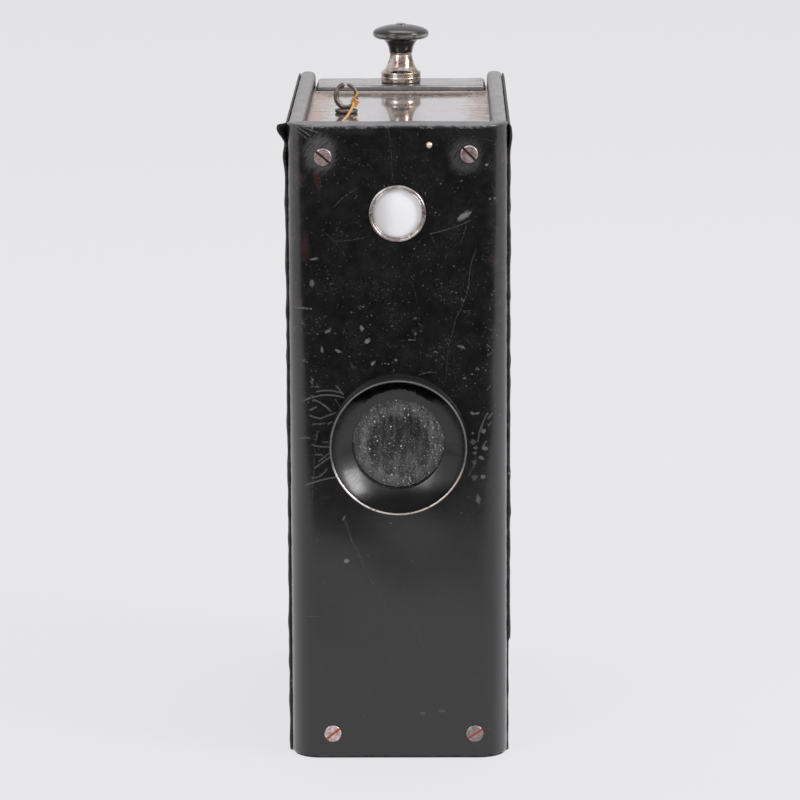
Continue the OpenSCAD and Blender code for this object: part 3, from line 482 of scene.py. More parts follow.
def makeFloor():
    # a pale table that shows a faint shadow, and a dark card that only reflections see
    material = bpy.data.materials.new("paleFloor")
    material.use_nodes = True
    tree = material.node_tree
    tree.nodes.clear()
    seen = seenDirectly(tree)
    plain = shade(tree, "ShaderNodeBsdfDiffuse", {"Color": light["pale"]})
    pale = shade(tree, "ShaderNodeEmission", {"Color": light["pale"], "Strength": 1.0})
    soft = mixShaders(tree, light["shadow"], pale, plain)
    addNode(tree, "ShaderNodeOutputMaterial", {"Surface": mixShaders(tree, seen, plain, soft)})
    stagePlane("floor", (-12, -12), (12, 12), 0.0, material)
    dark = newMaterial("darkFront", Base_Color=(0.004, 0.004, 0.004), Roughness=1.0, Specular_IOR_Level=0.0)
    front = spineFaceY - light["tableFront"] * 0.001
    card = stagePlane("tableFront", (-3.0, -6.0), (3.0, front), 0.0004, dark)
    card.visible_camera = False
    card.visible_diffuse = False
    card.visible_shadow = False


def makeLamps():
    aim = Vector((0, spineFaceY + 0.04, 0.08))
    for lamp in lamps:
        data = bpy.data.lights.new(lamp["name"], "AREA")
        data.shape = "RECTANGLE"
        data.size, data.size_y = lamp["size"]
        data.energy = lamp["watts"]
        made = bpy.data.objects.new(lamp["name"], data)
        bpy.context.scene.collection.objects.link(made)
        made.location = lamp["place"]
        made.rotation_euler = (aim - made.location).to_track_quat("-Z", "Y").to_euler()


makeCamera()
makeWorld()
makeFloor()
makeLamps()
bpy.context.scene.view_settings.view_transform = "Standard"
print("camera, light and floor ready")


spineFinish = {"black": (0.0036, 0.0035, 0.0037), "soft": (0.0065, 0.006, 0.006),
               "rub": (0.16, 0.155, 0.155), "lip": (0.09, 0.088, 0.09), "red": (0.055, 0.02, 0.018),
               "gloss": 0.16, "dull": 0.26, "worn": 0.6}

# worn lines on the spine: from (across, high), to (across, high), bow, width, how much is broken, strength
spineStrokes = [
    (-24.6, 147.3, -20.4, 144.6, 0.1, 0.2, 0.34, 0.65), (-23.2, 147.3, -19.6, 145.2, 0.1, 0.22, 0.34, 0.75),
    (-21.4, 147.2, -18.1, 146.1, -0.1, 0.22, 0.34, 0.65), (-2.1, 147.3, -1.2, 135.0, 0.3, 0.1, 0.36, 0.25),
    (-14.3, 129.0, -9.6, 132.9, 0.3, 0.16, 0.4, 0.45), (-16.2, 122.8, -11.9, 117.8, 0.4, 0.12, 0.42, 0.35),
    (-13.9, 121.2, -6.5, 122.3, -0.3, 0.12, 0.4, 0.35), (7.3, 122.8, 16.6, 125.9, -0.3, 0.16, 0.38, 0.5),
    (7.3, 122.8, 8.9, 119.8, 0.1, 0.12, 0.42, 0.35), (15.5, 124.8, 14.1, 120.5, 0.2, 0.12, 0.4, 0.35),
    (17.7, 119.1, 16.1, 111.1, -0.4, 0.14, 0.36, 0.35), (16.1, 111.1, 13.2, 103.5, 0.3, 0.14, 0.36, 0.35),
    (13.2, 103.5, 11.4, 96.8, 0.1, 0.14, 0.38, 0.33), (11.4, 96.8, 10.4, 87.5, 0.2, 0.12, 0.42, 0.3),
    (2.8, 112.5, 4.3, 107.6, 0.1, 0.1, 0.42, 0.25), (4.3, 107.6, 5.2, 92.9, 0.2, 0.1, 0.44, 0.2),
    (-23.8, 105.6, -19.7, 105.6, 0.1, 0.3, 0.36, 0.75), (4.8, 90.4, 8.6, 91.0, 0.2, 0.22, 0.42, 0.7),
    (-12.5, 57.0, -10.7, 51.4, 0.1, 0.12, 0.36, 0.45), (-10.7, 51.4, -8.7, 47.6, 0.1, 0.12, 0.4, 0.4),
    (-8.7, 47.6, -5.7, 41.2, -0.2, 0.1, 0.4, 0.35), (-5.7, 41.2, -2.5, 34.9, 0.2, 0.1, 0.42, 0.3),
    (-21.2, 33.7, -18.4, 33.7, 0.1, 0.14, 0.4, 0.4), (3.2, 32.2, 6.2, 24.9, 0.2, 0.1, 0.42, 0.25),
    (16.8, 18.0, 19.1, 21.3, -0.1, 0.1, 0.42, 0.25), (-21.5, 84.3, -12.4, 85.1, 1.0, 0.26, 0.3, 0.6),
    (-18.5, 86.5, -12.5, 86.0, 0.5, 0.26, 0.32, 0.5), (-19.3, 84.6, -15.4, 82.0, 0.3, 0.25, 0.3, 0.6),
    (-20.0, 82.2, -18.7, 83.0, 0.0, 0.25, 0.32, 0.6), (-20.0, 80.9, -17.6, 80.3, -0.1, 0.28, 0.3, 0.55),
    (-17.5, 80.4, -14.3, 81.6, 0.0, 0.22, 0.3, 0.55), (-19.5, 78.9, -16.8, 79.1, 0.0, 0.26, 0.32, 0.5),
    (-16.0, 79.0, -14.9, 79.6, 0.0, 0.24, 0.3, 0.55), (-18.9, 75.2, -18.3, 77.3, 0.0, 0.26, 0.34, 0.45),
    (-22.8, 75.4, -20.3, 75.7, 0.0, 0.24, 0.34, 0.6), (-19.7, 74.1, -15.4, 73.7, -0.2, 0.25, 0.3, 0.6),
    (-17.2, 74.8, -15.6, 74.7, 0.0, 0.3, 0.34, 0.45), (-18.8, 71.9, -17.6, 71.8, 0.0, 0.28, 0.3, 0.5),
    (-17.6, 71.9, -16.8, 71.2, 0.0, 0.22, 0.32, 0.45), (-18.2, 70.3, -15.3, 72.6, 0.0, 0.22, 0.3, 0.5),
    (-19.2, 68.7, -15.5, 71.4, 0.0, 0.24, 0.3, 0.6), (-19.7, 66.4, -16.4, 68.5, -0.5, 0.24, 0.3, 0.55),
    (-21.3, 64.6, -14.0, 66.6, 0.3, 0.25, 0.3, 0.6), (-19.0, 76.5, -19.8, 61.5, 0.1, 0.2, 0.42, 0.3),
    (-14.1, 87.9, -12.5, 85.9, 0.0, 0.26, 0.32, 0.5), (-14.3, 84.7, -13.2, 82.8, 0.0, 0.22, 0.36, 0.4),
    (-19.8, 87.6, -17.9, 87.7, 0.0, 0.24, 0.34, 0.5), (20.3, 81.2, 18.2, 75.1, -0.4, 0.26, 0.32, 0.45),
    (19.5, 80.0, 18.9, 76.9, 0.0, 0.18, 0.34, 0.4), (21.4, 81.2, 20.5, 80.1, 0.0, 0.26, 0.34, 0.45),
    (21.2, 79.2, 20.5, 78.4, 0.0, 0.22, 0.34, 0.45), (20.0, 74.8, 19.4, 73.9, 0.0, 0.26, 0.32, 0.5),
    (17.7, 70.6, 16.0, 67.0, 0.2, 0.26, 0.38, 0.4), (18.0, 75.0, 17.7, 69.6, -0.2, 0.2, 0.44, 0.3),
    (20.2, 86.7, 20.9, 87.6, 0.0, 0.22, 0.34, 0.4),
]

# reddish and pale spots, the pale ones rubbed or chipped: centre (across, high), half width and height, turn
# in degrees, raggedness, strength
redPatches = [
    (-18.0, 134.9, 0.9, 2.6, 8, 1.3, 0.45), (-20.9, 119.6, 1.0, 4.2, 0, 1.4, 0.5),
]
palePatches = [
    (15.0, 126.9, 2.1, 0.75, 32, 1.2, 0.8), (-18.9, 117.1, 1.1, 0.35, 12, 1.2, 0.55),
    (-19.5, 111.4, 0.6, 1.0, 0, 1.3, 0.5), (-15.9, 100.5, 0.9, 0.5, 20, 1.2, 0.5),
    (-8.2, 101.2, 0.5, 0.8, 10, 1.3, 0.7), (-7.0, 98.2, 0.9, 0.5, 40, 1.4, 0.75),
    (-13.6, 95.9, 0.9, 0.4, -25, 1.4, 0.6), (-17.3, 96.2, 0.4, 0.8, 15, 1.4, 0.55),
    (-5.7, 93.1, 0.9, 0.4, 50, 1.6, 0.7), (-0.5, 93.8, 0.5, 0.35, 0, 1.2, 0.5),
    (3.9, 99.8, 0.4, 0.4, 0, 1.2, 0.4), (14.5, 96.8, 1.0, 0.4, -15, 1.7, 0.5),
    (20.2, 138.5, 0.5, 0.35, 0, 1.1, 0.7), (20.9, 130.7, 0.3, 0.3, 0, 1.0, 0.5),
    (22.0, 130.7, 0.3, 0.3, 0, 1.0, 0.5), (-12.0, 46.9, 0.75, 0.55, 10, 0.8, 0.85),
    (-12.6, 57.0, 0.8, 0.25, 60, 1.1, 0.5), (-1.9, 55.8, 0.6, 0.25, 0, 1.1, 0.35),
    (9.8, 11.3, 0.9, 0.4, 0, 1.3, 0.25), (5.4, 10.8, 0.8, 0.4, 0, 1.3, 0.25),
    (16.9, 81.4, 0.7, 0.4, -25, 1.0, 0.55), (18.0, 81.4, 0.6, 0.35, 20, 1.0, 0.5),
    (19.5, 77.3, 0.6, 0.6, 0, 1.0, 0.5), (17.0, 76.8, 0.35, 0.35, 0, 0.8, 0.6),
    (17.0, 74.8, 0.8, 0.7, 0, 1.2, 0.35), (17.6, 73.4, 0.6, 0.5, 0, 1.0, 0.45),
    (19.7, 73.3, 0.9, 0.6, 0, 1.0, 0.5), (17.4, 72.2, 0.65, 0.45, 0, 1.0, 0.45),
    (18.9, 71.1, 0.9, 0.5, -30, 1.0, 0.5), (17.3, 70.0, 0.6, 0.6, 0, 1.2, 0.35),
    (19.3, 66.6, 0.7, 0.6, 0, 1.0, 0.5), (17.4, 66.5, 0.8, 0.8, 0, 1.2, 0.3),
    (18.2, 61.3, 0.6, 1.3, 0, 1.1, 0.4),
]

# grey haloes that hands and drivers have rubbed round the upper screws, in the same order
spineHaloes = [(-17.4, 141.2, 4.6, 5.4, 0, 0.9, 0.62), (15.5, 140.5, 4.8, 5.0, 0, 0.9, 0.36)]

# hairlines: direction in radians, amount; specks: density, size, share of the cells, strength
spineHairlines = [(0.6, 0.62), (-0.85, 0.56), (1.35, 0.5), (0.1, 0.45)]
spineSpecks = [(0.5, 0.24, 0.35, 0.5), (1.3, 0.16, 0.3, 0.3)]


def patchMask(place, grain, across, high, wide, tall, turn, ragged, strength):
    return useGroup(patchMark, place, Centre=(across, 0, high), Size=(wide, 1, tall), Turn=math.radians(turn),
                    Grain=grain, Ragged=ragged)[0] * strength


def makeSpineFinish():
    # smooth black leather: polished, rubbed pale in lines and chips, reddish in two patches and towards the
    # side corners;
    # each mark joins the others as soon as it is made, because the renderer can hold only a few at once
    material = newMaterial("smoothLeather", Coat_Roughness=0.1, Coat_IOR=1.5, IOR=1.62)
    place = millimetres(material)
    across, deep, high = separate(place)
    broken = noise(place, 2.3, 5.0, 0.7)
    soft = noise(place, 0.35, 3.0, 0.6)
    pale = red = 0.0
    for fromX, fromZ, toX, toZ, bow, width, gap, strength in spineStrokes:
        pale = pale | useGroup(strokeMark, place, From=(fromX, 0, fromZ), To=(toX, 0, toZ), Bend=bow,
                               Width=width, Grain=broken, Broken=gap)[0] * strength
    for patch in redPatches:
        red = red | patchMask(place, broken, *patch)
    for patch in palePatches:
        pale = pale | patchMask(place, broken, *patch)
    brushed = noise(turned(place, -0.75) * (2.4, 1.0, 0.25), 1.3, 4.0, 0.7)
    for *halo, strength in spineHaloes:
        pale = pale | patchMask(place, brushed, *halo, fade(brushed, 0.3, 0.7, 0.2 * strength, strength))
    pale = pale * fade(deep, 1.5, 4.0, 1.0, 0.0)
    for turn, amount in spineHairlines:
        lines = useGroup(hairlines, place, Turn=turn, Fine=1.0, Amount=amount)[0]
        pale = pale | lines * fade(high, 40.0, 95.0, 0.12, 0.36)
    for density, size, share, strength in spineSpecks:
        dots = useGroup(specks, place, Density=density, Size=size, Share=share)[0]
        pale = pale | dots * fade(high, 30.0, 95.0, 0.3 * strength, strength)
    # flakes have come off above the hood, dust sits in the grain of the upper half, and white chips
    # along the upper edge
    flakes = fade(noise(place * (0.7, 1.0, 1.2), 0.9, 5.0, 0.75), 0.59, 0.62)
    flakes = flakes * fade(noise(place, 0.17, 2.0, 0.5), 0.53, 0.6)
    flakes = flakes * (fade(high, 82.0, 90.0) * fade(high, 122.0, 100.0, 0.15, 1.0))
    pale = pale | flakes * 0.6
    dusty = fade(noise(place, 3.0, 4.0, 0.75), 0.48, 0.72) * fade(noise(place, 0.13, 3.0, 0.6), 0.42, 0.62)
    pale = pale | dusty * fade(high, 70.0, 100.0, 0.04, 0.2)
    torn = noise(place * (0.55, 1.0, 1.0), 1.5, 5.0, 0.75) + (high - 147.3) * 0.22
    chips = fade(torn, 0.42, 0.5, 0.0, 0.85) * fade(soft, 0.42, 0.56)
    pale = pale | chips * fade(deep, 0.6, 0.3)
    # reddish towards the side corners
    edgeRed = fade(calc("ABSOLUTE", across), 20.5, 22.5) * fade(soft, 0.5, 0.66)
    edgeRed = edgeRed * fade(high, 90.0, 110.0) * fade(deep, 5.0, 3.0)
    red = red | edgeRed * 0.45
    # the folded upper edge and the board's top are painted grey: partly rubbed wear, partly a painted sheen
    # where the edge faces the bright room
    lip = fade(high, 147.1, 147.4) * fade(broken, 0.35, 0.6, 0.3, 1.0) * fade(deep, 5.6, 6.3, 1.0, 0.1)
    colour = paint(fade(soft, 0.3, 0.7), spineFinish["black"], spineFinish["soft"])
    colour = paint(red, colour, spineFinish["red"])
    colour = paint(lip * 0.5, colour, spineFinish["lip"])
    colour = paint(pale, colour, spineFinish["rub"])
    worn = pale | lip * 0.6
    rough = mixValue(worn, mixValue(soft, spineFinish["gloss"], spineFinish["dull"]), spineFinish["worn"])
    # hands have polished the rounded edges, most of all below
    polish = fade(deep, 0.4, 2.6) * fade(high, 115.0, 60.0)
    feed(material, Base_Color=colour, Roughness=rough, Coat_Weight=rest(worn) * mixValue(polish, 0.22, 0.95))
    bumps(material, (noise(place, 0.09, 2.0, 0.5), 0.12, 0.5), (noise(place, 1.1, 4.0, 0.6), 0.012, 0.5))
    return material


grainFinish = {"black": (0.016, 0.014, 0.013), "crease": (0.006, 0.005, 0.005),
               "rubbedAndLit": (0.05, 0.042, 0.036), "brown": (0.21, 0.085, 0.03), "bared": (0.4, 0.37, 0.35),
               "cell": 1.05}


def makeGrainedFinish(name, wear):
    # grained leather: soft cells with creases, brown where the edges are worn, pale at the right front
    material = newMaterial(name, IOR=1.5, Specular_IOR_Level=0.4)
    place = millimetres(material)
    across, deep, high = separate(place)
    height, crease = useGroup(leatherGrain, place, Cell=grainFinish["cell"])
    folds = noise(place, 0.12, 4.0, 0.6)
    edge = fade(deep, 6.2, 10.5, 1.0, 0.0) | fade(deep, 101.0, 104.5)
    edge = edge | (fade(high, 3.5, 0.8) | fade(high, 143.0, 146.5))
    worn = edge * fade(noise(place, 0.5, 5.0, 0.7), 0.6, 0.68)
    rubbedAndLit = fade(folds, 0.52, 0.68) * fade(height, 0.9, 1.15)
    colour = paint(crease, grainFinish["black"], grainFinish["crease"])
    colour = paint(rubbedAndLit * 0.5, colour, grainFinish["rubbedAndLit"])
    frontRight = fade(across, -1.0, 1.0) * fade(deep, 40.0, 30.0)
    colour = paint(worn * wear, colour, paint(frontRight, grainFinish["brown"], grainFinish["bared"]))
    feed(material, Base_Color=colour, Roughness=mixValue(worn, mixValue(folds, 0.42, 0.62), 0.85))
    bumps(material, (folds, 0.25, 0.5), (height, 0.09, 0.8))
    return material


plateFinish = {"dark": (0.035, 0.026, 0.024), "pale": (0.12, 0.09, 0.08), "bareAndSheen": (0.23, 0.13, 0.09),
               "line": (0.3, 0.27, 0.25), "streak": (0.012, 0.009, 0.008), "fillet": (0.5, 0.42, 0.36),
               "gloss": 0.24, "wear": 0.6, "coat": 0.7}


def makeLacquerFinish():
    # the raised plate: streaked lacquer with rubbed margins and a pale fillet along its front foot
    material = newMaterial("rodPlateGloss", IOR=1.8, Coat_Roughness=0.06, Coat_IOR=1.6)
    place = millimetres(material)
    across, deep = separate(place)[:2]
    cloudy = noise(place, 0.22, 4.0, 0.65)
    fine = noise(place, 1.9, 4.0, 0.65)
    margin = fade(calc("ABSOLUTE", across), 16.5, 20.8)
    worn = fade(fine, 0.44, 0.64) * (margin | fade(cloudy, 0.58, 0.75)) * plateFinish["wear"]
    colour = paint(fade(cloudy, 0.35, 0.7), plateFinish["dark"], plateFinish["pale"])
    colour = paint(worn, colour, plateFinish["bareAndSheen"])
    lines = useGroup(hairlines, place, Turn=0.7, Fine=1.0, Amount=0.4)[0]
    colour = paint(lines * 0.3, colour, plateFinish["line"])
    drawn = noise(place * (0.12, 1.0, 1.0), 1.1, 4.0, 0.7)
    colour = paint(fade(drawn, 0.5, 0.6) * 0.7, colour, plateFinish["streak"])
    foot = fade(deep, 88.36, 88.3) * fade(fine, 0.3, 0.45, 0.4, 1.0)
    colour = paint(foot, colour, plateFinish["fillet"])
    rough = mixValue(worn, mixValue(fade(drawn, 0.42, 0.62), plateFinish["gloss"], 0.5), 0.55)
    feed(material, Base_Color=colour, Roughness=rough, Coat_Weight=rest(worn) * plateFinish["coat"])
    bumps(material, (cloudy, 0.08, 0.4), (fine, 0.01, 0.4))
    return material


panelFinish = {"dark": (0.05, 0.034, 0.03), "pale": (0.11, 0.08, 0.07), "bareAndSheen": (0.34, 0.22, 0.19),
               "orange": (0.62, 0.16, 0.05), "speck": (10.5, 48.4, 0), "gloss": 0.06, "dull": 0.55}


def makePanelFinish():
    # old varnish: fine waves across it draw every reflection out, and it is painted pinkish in patches along
    # both sides, the front and the foot of the raised plate: worn varnish, and along the sides also a painted
    # reflection of the beads
    material = newMaterial("panelVarnish", IOR=2.3, Coat_Roughness=0.05, Coat_IOR=2.1)
    place = millimetres(material)
    across, deep = separate(place)[:2]
    cloudy = noise(place, 0.16, 4.0, 0.65)
    fine = noise(place, 1.3, 4.0, 0.65)
    drawn = noise(place * (0.14, 1.0, 1.0), 0.9, 4.0, 0.65)
    # along both sides the pink is partly a painted reflection of the beads' inner faces
    sides = fade(calc("ABSOLUTE", across), 10.5, 20.5)
    ends = fade(deep, 24.0, 8.0) | fade(deep, 74.0, 88.0) * 0.8
    limit = 0.62 - (sides | ends * 0.7) * 0.22
    worn = fade(fine * 0.45 + drawn * 0.55, limit, limit + 0.07, smooth=False)
    worn = worn * fade(cloudy, 0.34, 0.5, 0.35, 1.0)
    colour = paint(fade(cloudy, 0.35, 0.7), panelFinish["dark"], panelFinish["pale"])
    colour = paint(worn, colour, panelFinish["bareAndSheen"])
    dot = calc("LENGTH", (place - panelFinish["speck"]) * (1, 0.4, 0))
    colour = paint(fade(dot + fine * 1.2, 0.9, 1.4, 0.8, 0.0), colour, panelFinish["orange"])
    feed(material, Base_Color=colour, Roughness=mixValue(worn, panelFinish["gloss"], panelFinish["dull"]),
         Coat_Weight=rest(worn))
    swell = noise(place * (0.3, 1.0, 1.0), 0.12, 3.0, 0.5)
    bumps(material, (swell, 0.5, 0.6), (drawn, 0.13, 0.8), (fine, 0.01, 0.4))
    return material


woodFinish = {"dark": (0.010, 0.008, 0.0075), "pale": (0.028, 0.020, 0.017), "crest": (0.38, 0.36, 0.35)}


def makeWoodFinish():
    # ebonised wood: long pores along the grain, satin, with a painted grey sheen on the crest of the beads
    material = newMaterial("blackWood", IOR=1.5, Specular_IOR_Level=0.45)
    place = millimetres(material)
    high = separate(place)[2]
    pores = noise(place * (1.0, 0.08, 1.0), 1.6, 5.0, 0.65)
    cloudy = noise(place, 0.2, 3.0, 0.6)
    # painted sheen: the tops of the beads are painted grey where they catch the light from above
    crest = fade(high, 146.2, 147.4) * fade(noise(place, 2.4, 3.0, 0.6), 0.4, 0.6, 0.3, 1.0)
    colour = paint(fade(pores, 0.4, 0.65), woodFinish["dark"], woodFinish["pale"])
    colour = paint(crest * 0.7, colour, woodFinish["crest"])
    feed(material, Base_Color=colour, Roughness=mixValue(cloudy, 0.24, 0.46))
    bumps(material, (cloudy, 0.08, 0.4), (pores, 0.03, 0.5))
    return material


enamelFinish = {"black": (0.006, 0.006, 0.0062), "soft": (0.011, 0.0105, 0.0105), "dust": (0.3, 0.29, 0.28),
                "rubbedAndLit": (0.115, 0.112, 0.112), "bareAndSheen": (0.86, 0.76, 0.74), "tired": (0.62, 0.5, 0.45),
                "dull": (0.004, 0.004, 0.004)}


def aroundLens(place):
    # the way from the lens axis, and its length
    around = (place - (0, 0, hoodHeight)) * (1, 0, 1)
    return around, calc("LENGTH", around)


def makeEnamelFinish():
    # glossy black enamel with fine lines towards the lens, dusty; the rim is painted grey above, where light
    # falls on it,
    # and painted bright metal below: worn there, with a painted highlight that is brightest at the lower left
    material = newMaterial("blackEnamel", IOR=1.5, Coat_Roughness=0.12, Coat_IOR=1.5)
    place = millimetres(material)
    across, deep, high = separate(place)
    fine = noise(place, 1.5, 4.0, 0.6)
    soft = noise(place, 0.4, 3.0, 0.6)
    around, away = aroundLens(place)
    rise = separate(around)[2]
    outwards = addNode(material.node_tree, "ShaderNodeCombineXYZ", {
        0: calc("ARCTAN2", rise, across) * 16.0, 1: deep * 0.12})
    rays = noise(Wire(outwards.outputs[0]), 1.6, 4.0, 0.7)
    # painted highlight: the rim is bright metal only on its lower half, where it catches the light, on top of
    # real wear
    lower = fade(high + soft * 1.5, hoodHeight - 2.0, hoodHeight - 6.5)
    bareAndSheen = fade(deep, -3.6, -3.8) * lower * fade(fine, 0.3, 0.45)
    # painted light: the upper rim is painted grey where light falls on it from above
    rubbedAndLit = fade(away, 15.15, 15.3) * fade(deep, -3.3, -3.6) * (1.0 - lower)
    dust = useGroup(specks, place, Density=0.9, Size=0.12, Share=0.25)[0]
    # under the top of the rim and at the foot of the dish a painted dark reflection makes it blacker, with a
    # wavering edge
    crownDarkReflection = fade(away + soft * 2.6, 13.9, 14.3) * fade(rise + soft * 3.0, 10.6, 13.0)
    foot = fade(across * 0.12 - rise, 8.6, 12.4) * 0.75
    dull = (crownDarkReflection | foot) * (fade(away, 15.4, 15.2) * (1.0 - bareAndSheen))
    colour = paint(soft, enamelFinish["black"], enamelFinish["soft"])
    colour = paint(dust * 0.35, colour, enamelFinish["dust"])
    colour = paint(rubbedAndLit * fade(fine, 0.25, 0.6, 0.5, 1.0), colour, enamelFinish["rubbedAndLit"])
    colour = paint(bareAndSheen, colour, paint(fade(across, -8.0, 2.0), enamelFinish["bareAndSheen"], enamelFinish["tired"]))
    colour = paint(dull * 0.9, colour, enamelFinish["dull"])
    feed(material, Base_Color=colour, Metallic=bareAndSheen | dull,
         Roughness=mixValue(bareAndSheen, mixValue(rays, 0.16, 0.42), 0.3),
         Coat_Weight=fade(bareAndSheen | rubbedAndLit | dull, 0.0, 1.0, 0.15, 0.0))
    bumps(material, (noise(place, 0.13, 2.0, 0.5), 0.35, 0.5), (rays, 0.02, 0.3), (fine, 0.012, 0.3))
    return material


hornFinish = {"dark": (0.008, 0.0065, 0.006), "soft": (0.02, 0.014, 0.012), "dust": (0.3, 0.27, 0.26),
              "rim": (0.34, 0.32, 0.31)}


def makeHornFinish():
    # polished black ebonite with fine wiping lines, with a painted grey highlight just under the knob's widest
    # line
    material = newMaterial("blackHorn", IOR=1.55, Coat_Roughness=0.05)
    place = millimetres(material)
    high = separate(place)[2]
    soft = noise(place, 0.5, 3.0, 0.6)
    dust = useGroup(specks, place, Density=1.3, Size=0.14, Share=0.4)[0]
    lines = useGroup(hairlines, place, Turn=1.2, Fine=1.4, Amount=0.5)[0]
    colour = paint(soft, hornFinish["dark"], hornFinish["soft"])
    colour = paint((dust | lines) * 0.3, colour, hornFinish["dust"])
    # painted highlight: a grey band along the lower side of the rim
    rim = fade(high, 156.9, 157.3) * fade(high, 158.1, 157.7) * fade(soft, 0.35, 0.6, 0.25, 1.0)
    colour = paint(rim * 0.8, colour, hornFinish["rim"])
    feed(material, Base_Color=colour, Roughness=mixValue(rim, mixValue(soft, 0.12, 0.24), 0.4))
    bumps(material, (noise(place, 1.2, 3.0, 0.5), 0.015, 0.3))
    return material


# metals: name, bright, tired and underlying colour, gloss, wear, stain, size of the patches, slot's colour
metals = {
    "nickel": ("wornNickel", (0.68, 0.62, 0.58), (0.13, 0.09, 0.078), (0.55, 0.32, 0.16), 0.13, 0.75, 0.95),
    "ringNickel": ("finderNickel", (0.74, 0.70, 0.68), (0.42, 0.38, 0.37), (0.38, 0.22, 0.14), 0.2, 0.5, 0.5,
                   0.6),
    "screw": ("screwNickel", (0.74, 0.64, 0.64), (0.40, 0.29, 0.29), (0.60, 0.30, 0.22), 0.3, 0.5, 0.5, 0.3,
              (0.12, 0.06, 0.05)),
    "brass": ("agedBrass", (0.62, 0.46, 0.20), (0.44, 0.31, 0.13), (0.30, 0.19, 0.08), 0.22, 0.35, 0.3),
    "pin": ("pinkBrass", (0.95, 0.78, 0.66), (0.86, 0.62, 0.48), (0.7, 0.42, 0.3), 0.25, 0.3, 0.1, 0.3),
    "steel": ("duskySteel", (0.20, 0.17, 0.155), (0.10, 0.085, 0.078), (0.16, 0.09, 0.06), 0.3, 0.4, 0.4, 0.5),
    "spring": ("springSteel", (0.55, 0.55, 0.56), (0.42, 0.42, 0.44), (0.35, 0.3, 0.26), 0.2, 0.2, 0.2),
}


def makeMetalFinish(name, bright, tired, under, gloss, wear, stain, size=1.0, slot=None):
    # plated metal: bright and tired areas, worn through to the metal under it, with dark stains;
    # on the spine's screws, whose heads stand 0.55 mm proud, the slot is a colour of its own
    material = newMaterial(name, Metallic=1.0)
    place = millimetres(material)
    soft = noise(place, 0.35 / size, 4.0, 0.6)
    fine = noise(place, 2.2 / size, 4.0, 0.7)
    other = noise(place + (31.0, 17.0, 5.0), 0.8 / size, 4.0, 0.65)
    colour = paint(fade(soft, 0.35, 0.65), bright, tired)
    colour = paint(fade(other, 0.5, 0.62) * wear, colour, under)
    colour = paint(fade(fine, 0.58, 0.72) * stain, colour, (0.05, 0.035, 0.028))
    if slot:
        across, deep, high = separate(place)
        lower = fade(high, 60.0, 50.0)
        colour = paint(lower * fade(across, -5.0, 5.0) * 0.55, colour, (0.11, 0.11, 0.112))
        colour = paint(fade(deep, -0.42, -0.3), colour, paint(lower, slot, (0.42, 0.15, 0.08)))
    feed(material, Base_Color=colour, Roughness=mixValue(fade(fine, 0.4, 0.7), gloss, gloss + 0.28))
    bumps(material, (soft, 0.03 if slot else 0.01, 0.4), (fine, 0.02, 0.3))
    return material


glassFinish = {"tint": (0.86, 0.87, 0.88), "smeared": (0.8084, 0.8178, 0.8272), "milk": (0.80, 0.80, 0.82),
               "grey": (0.55, 0.535, 0.54), "dust": (0.4, 0.4, 0.4), "dark": (0.034, 0.034, 0.035),
               "veil": (0.19, 0.19, 0.193), "fluff": (0.95, 0.94, 0.93)}


def makeGlassFinish():
    material = newMaterial("lensGlass", Transmission_Weight=1.0, IOR=1.5)
    smear = noise(millimetres(material), 0.5, 3.0, 0.6)
    feed(material, Base_Color=paint(smear, glassFinish["tint"], glassFinish["smeared"]),
         Roughness=mixValue(smear, 0.1, 0.15))
    return material


def makeMilkFinish():
    # the finder's lens over its ground glass: its opaque white stands in for the light that comes through the
    # glass, with painted shade that greys it towards the left, and dust
    material = newMaterial("milkGlass", IOR=1.5, Coat_Weight=0.6, Coat_Roughness=0.03)
    place = millimetres(material)
    across = separate(place)[0]
    soft = noise(place, 0.35, 2.0, 0.5)
    # painted shade: greyer towards the left
    left = fade(across + soft * 2.0, -4.4, 1.6, 1.0, 0.0)
    colour = paint(left, glassFinish["milk"], glassFinish["grey"])
    dust = useGroup(specks, place, Density=1.2, Size=0.1, Share=0.25)[0]
    colour = paint(dust * 0.25, colour, glassFinish["dust"])
    feed(material, Base_Color=colour, Roughness=mixValue(soft, 0.25, 0.4))
    return material


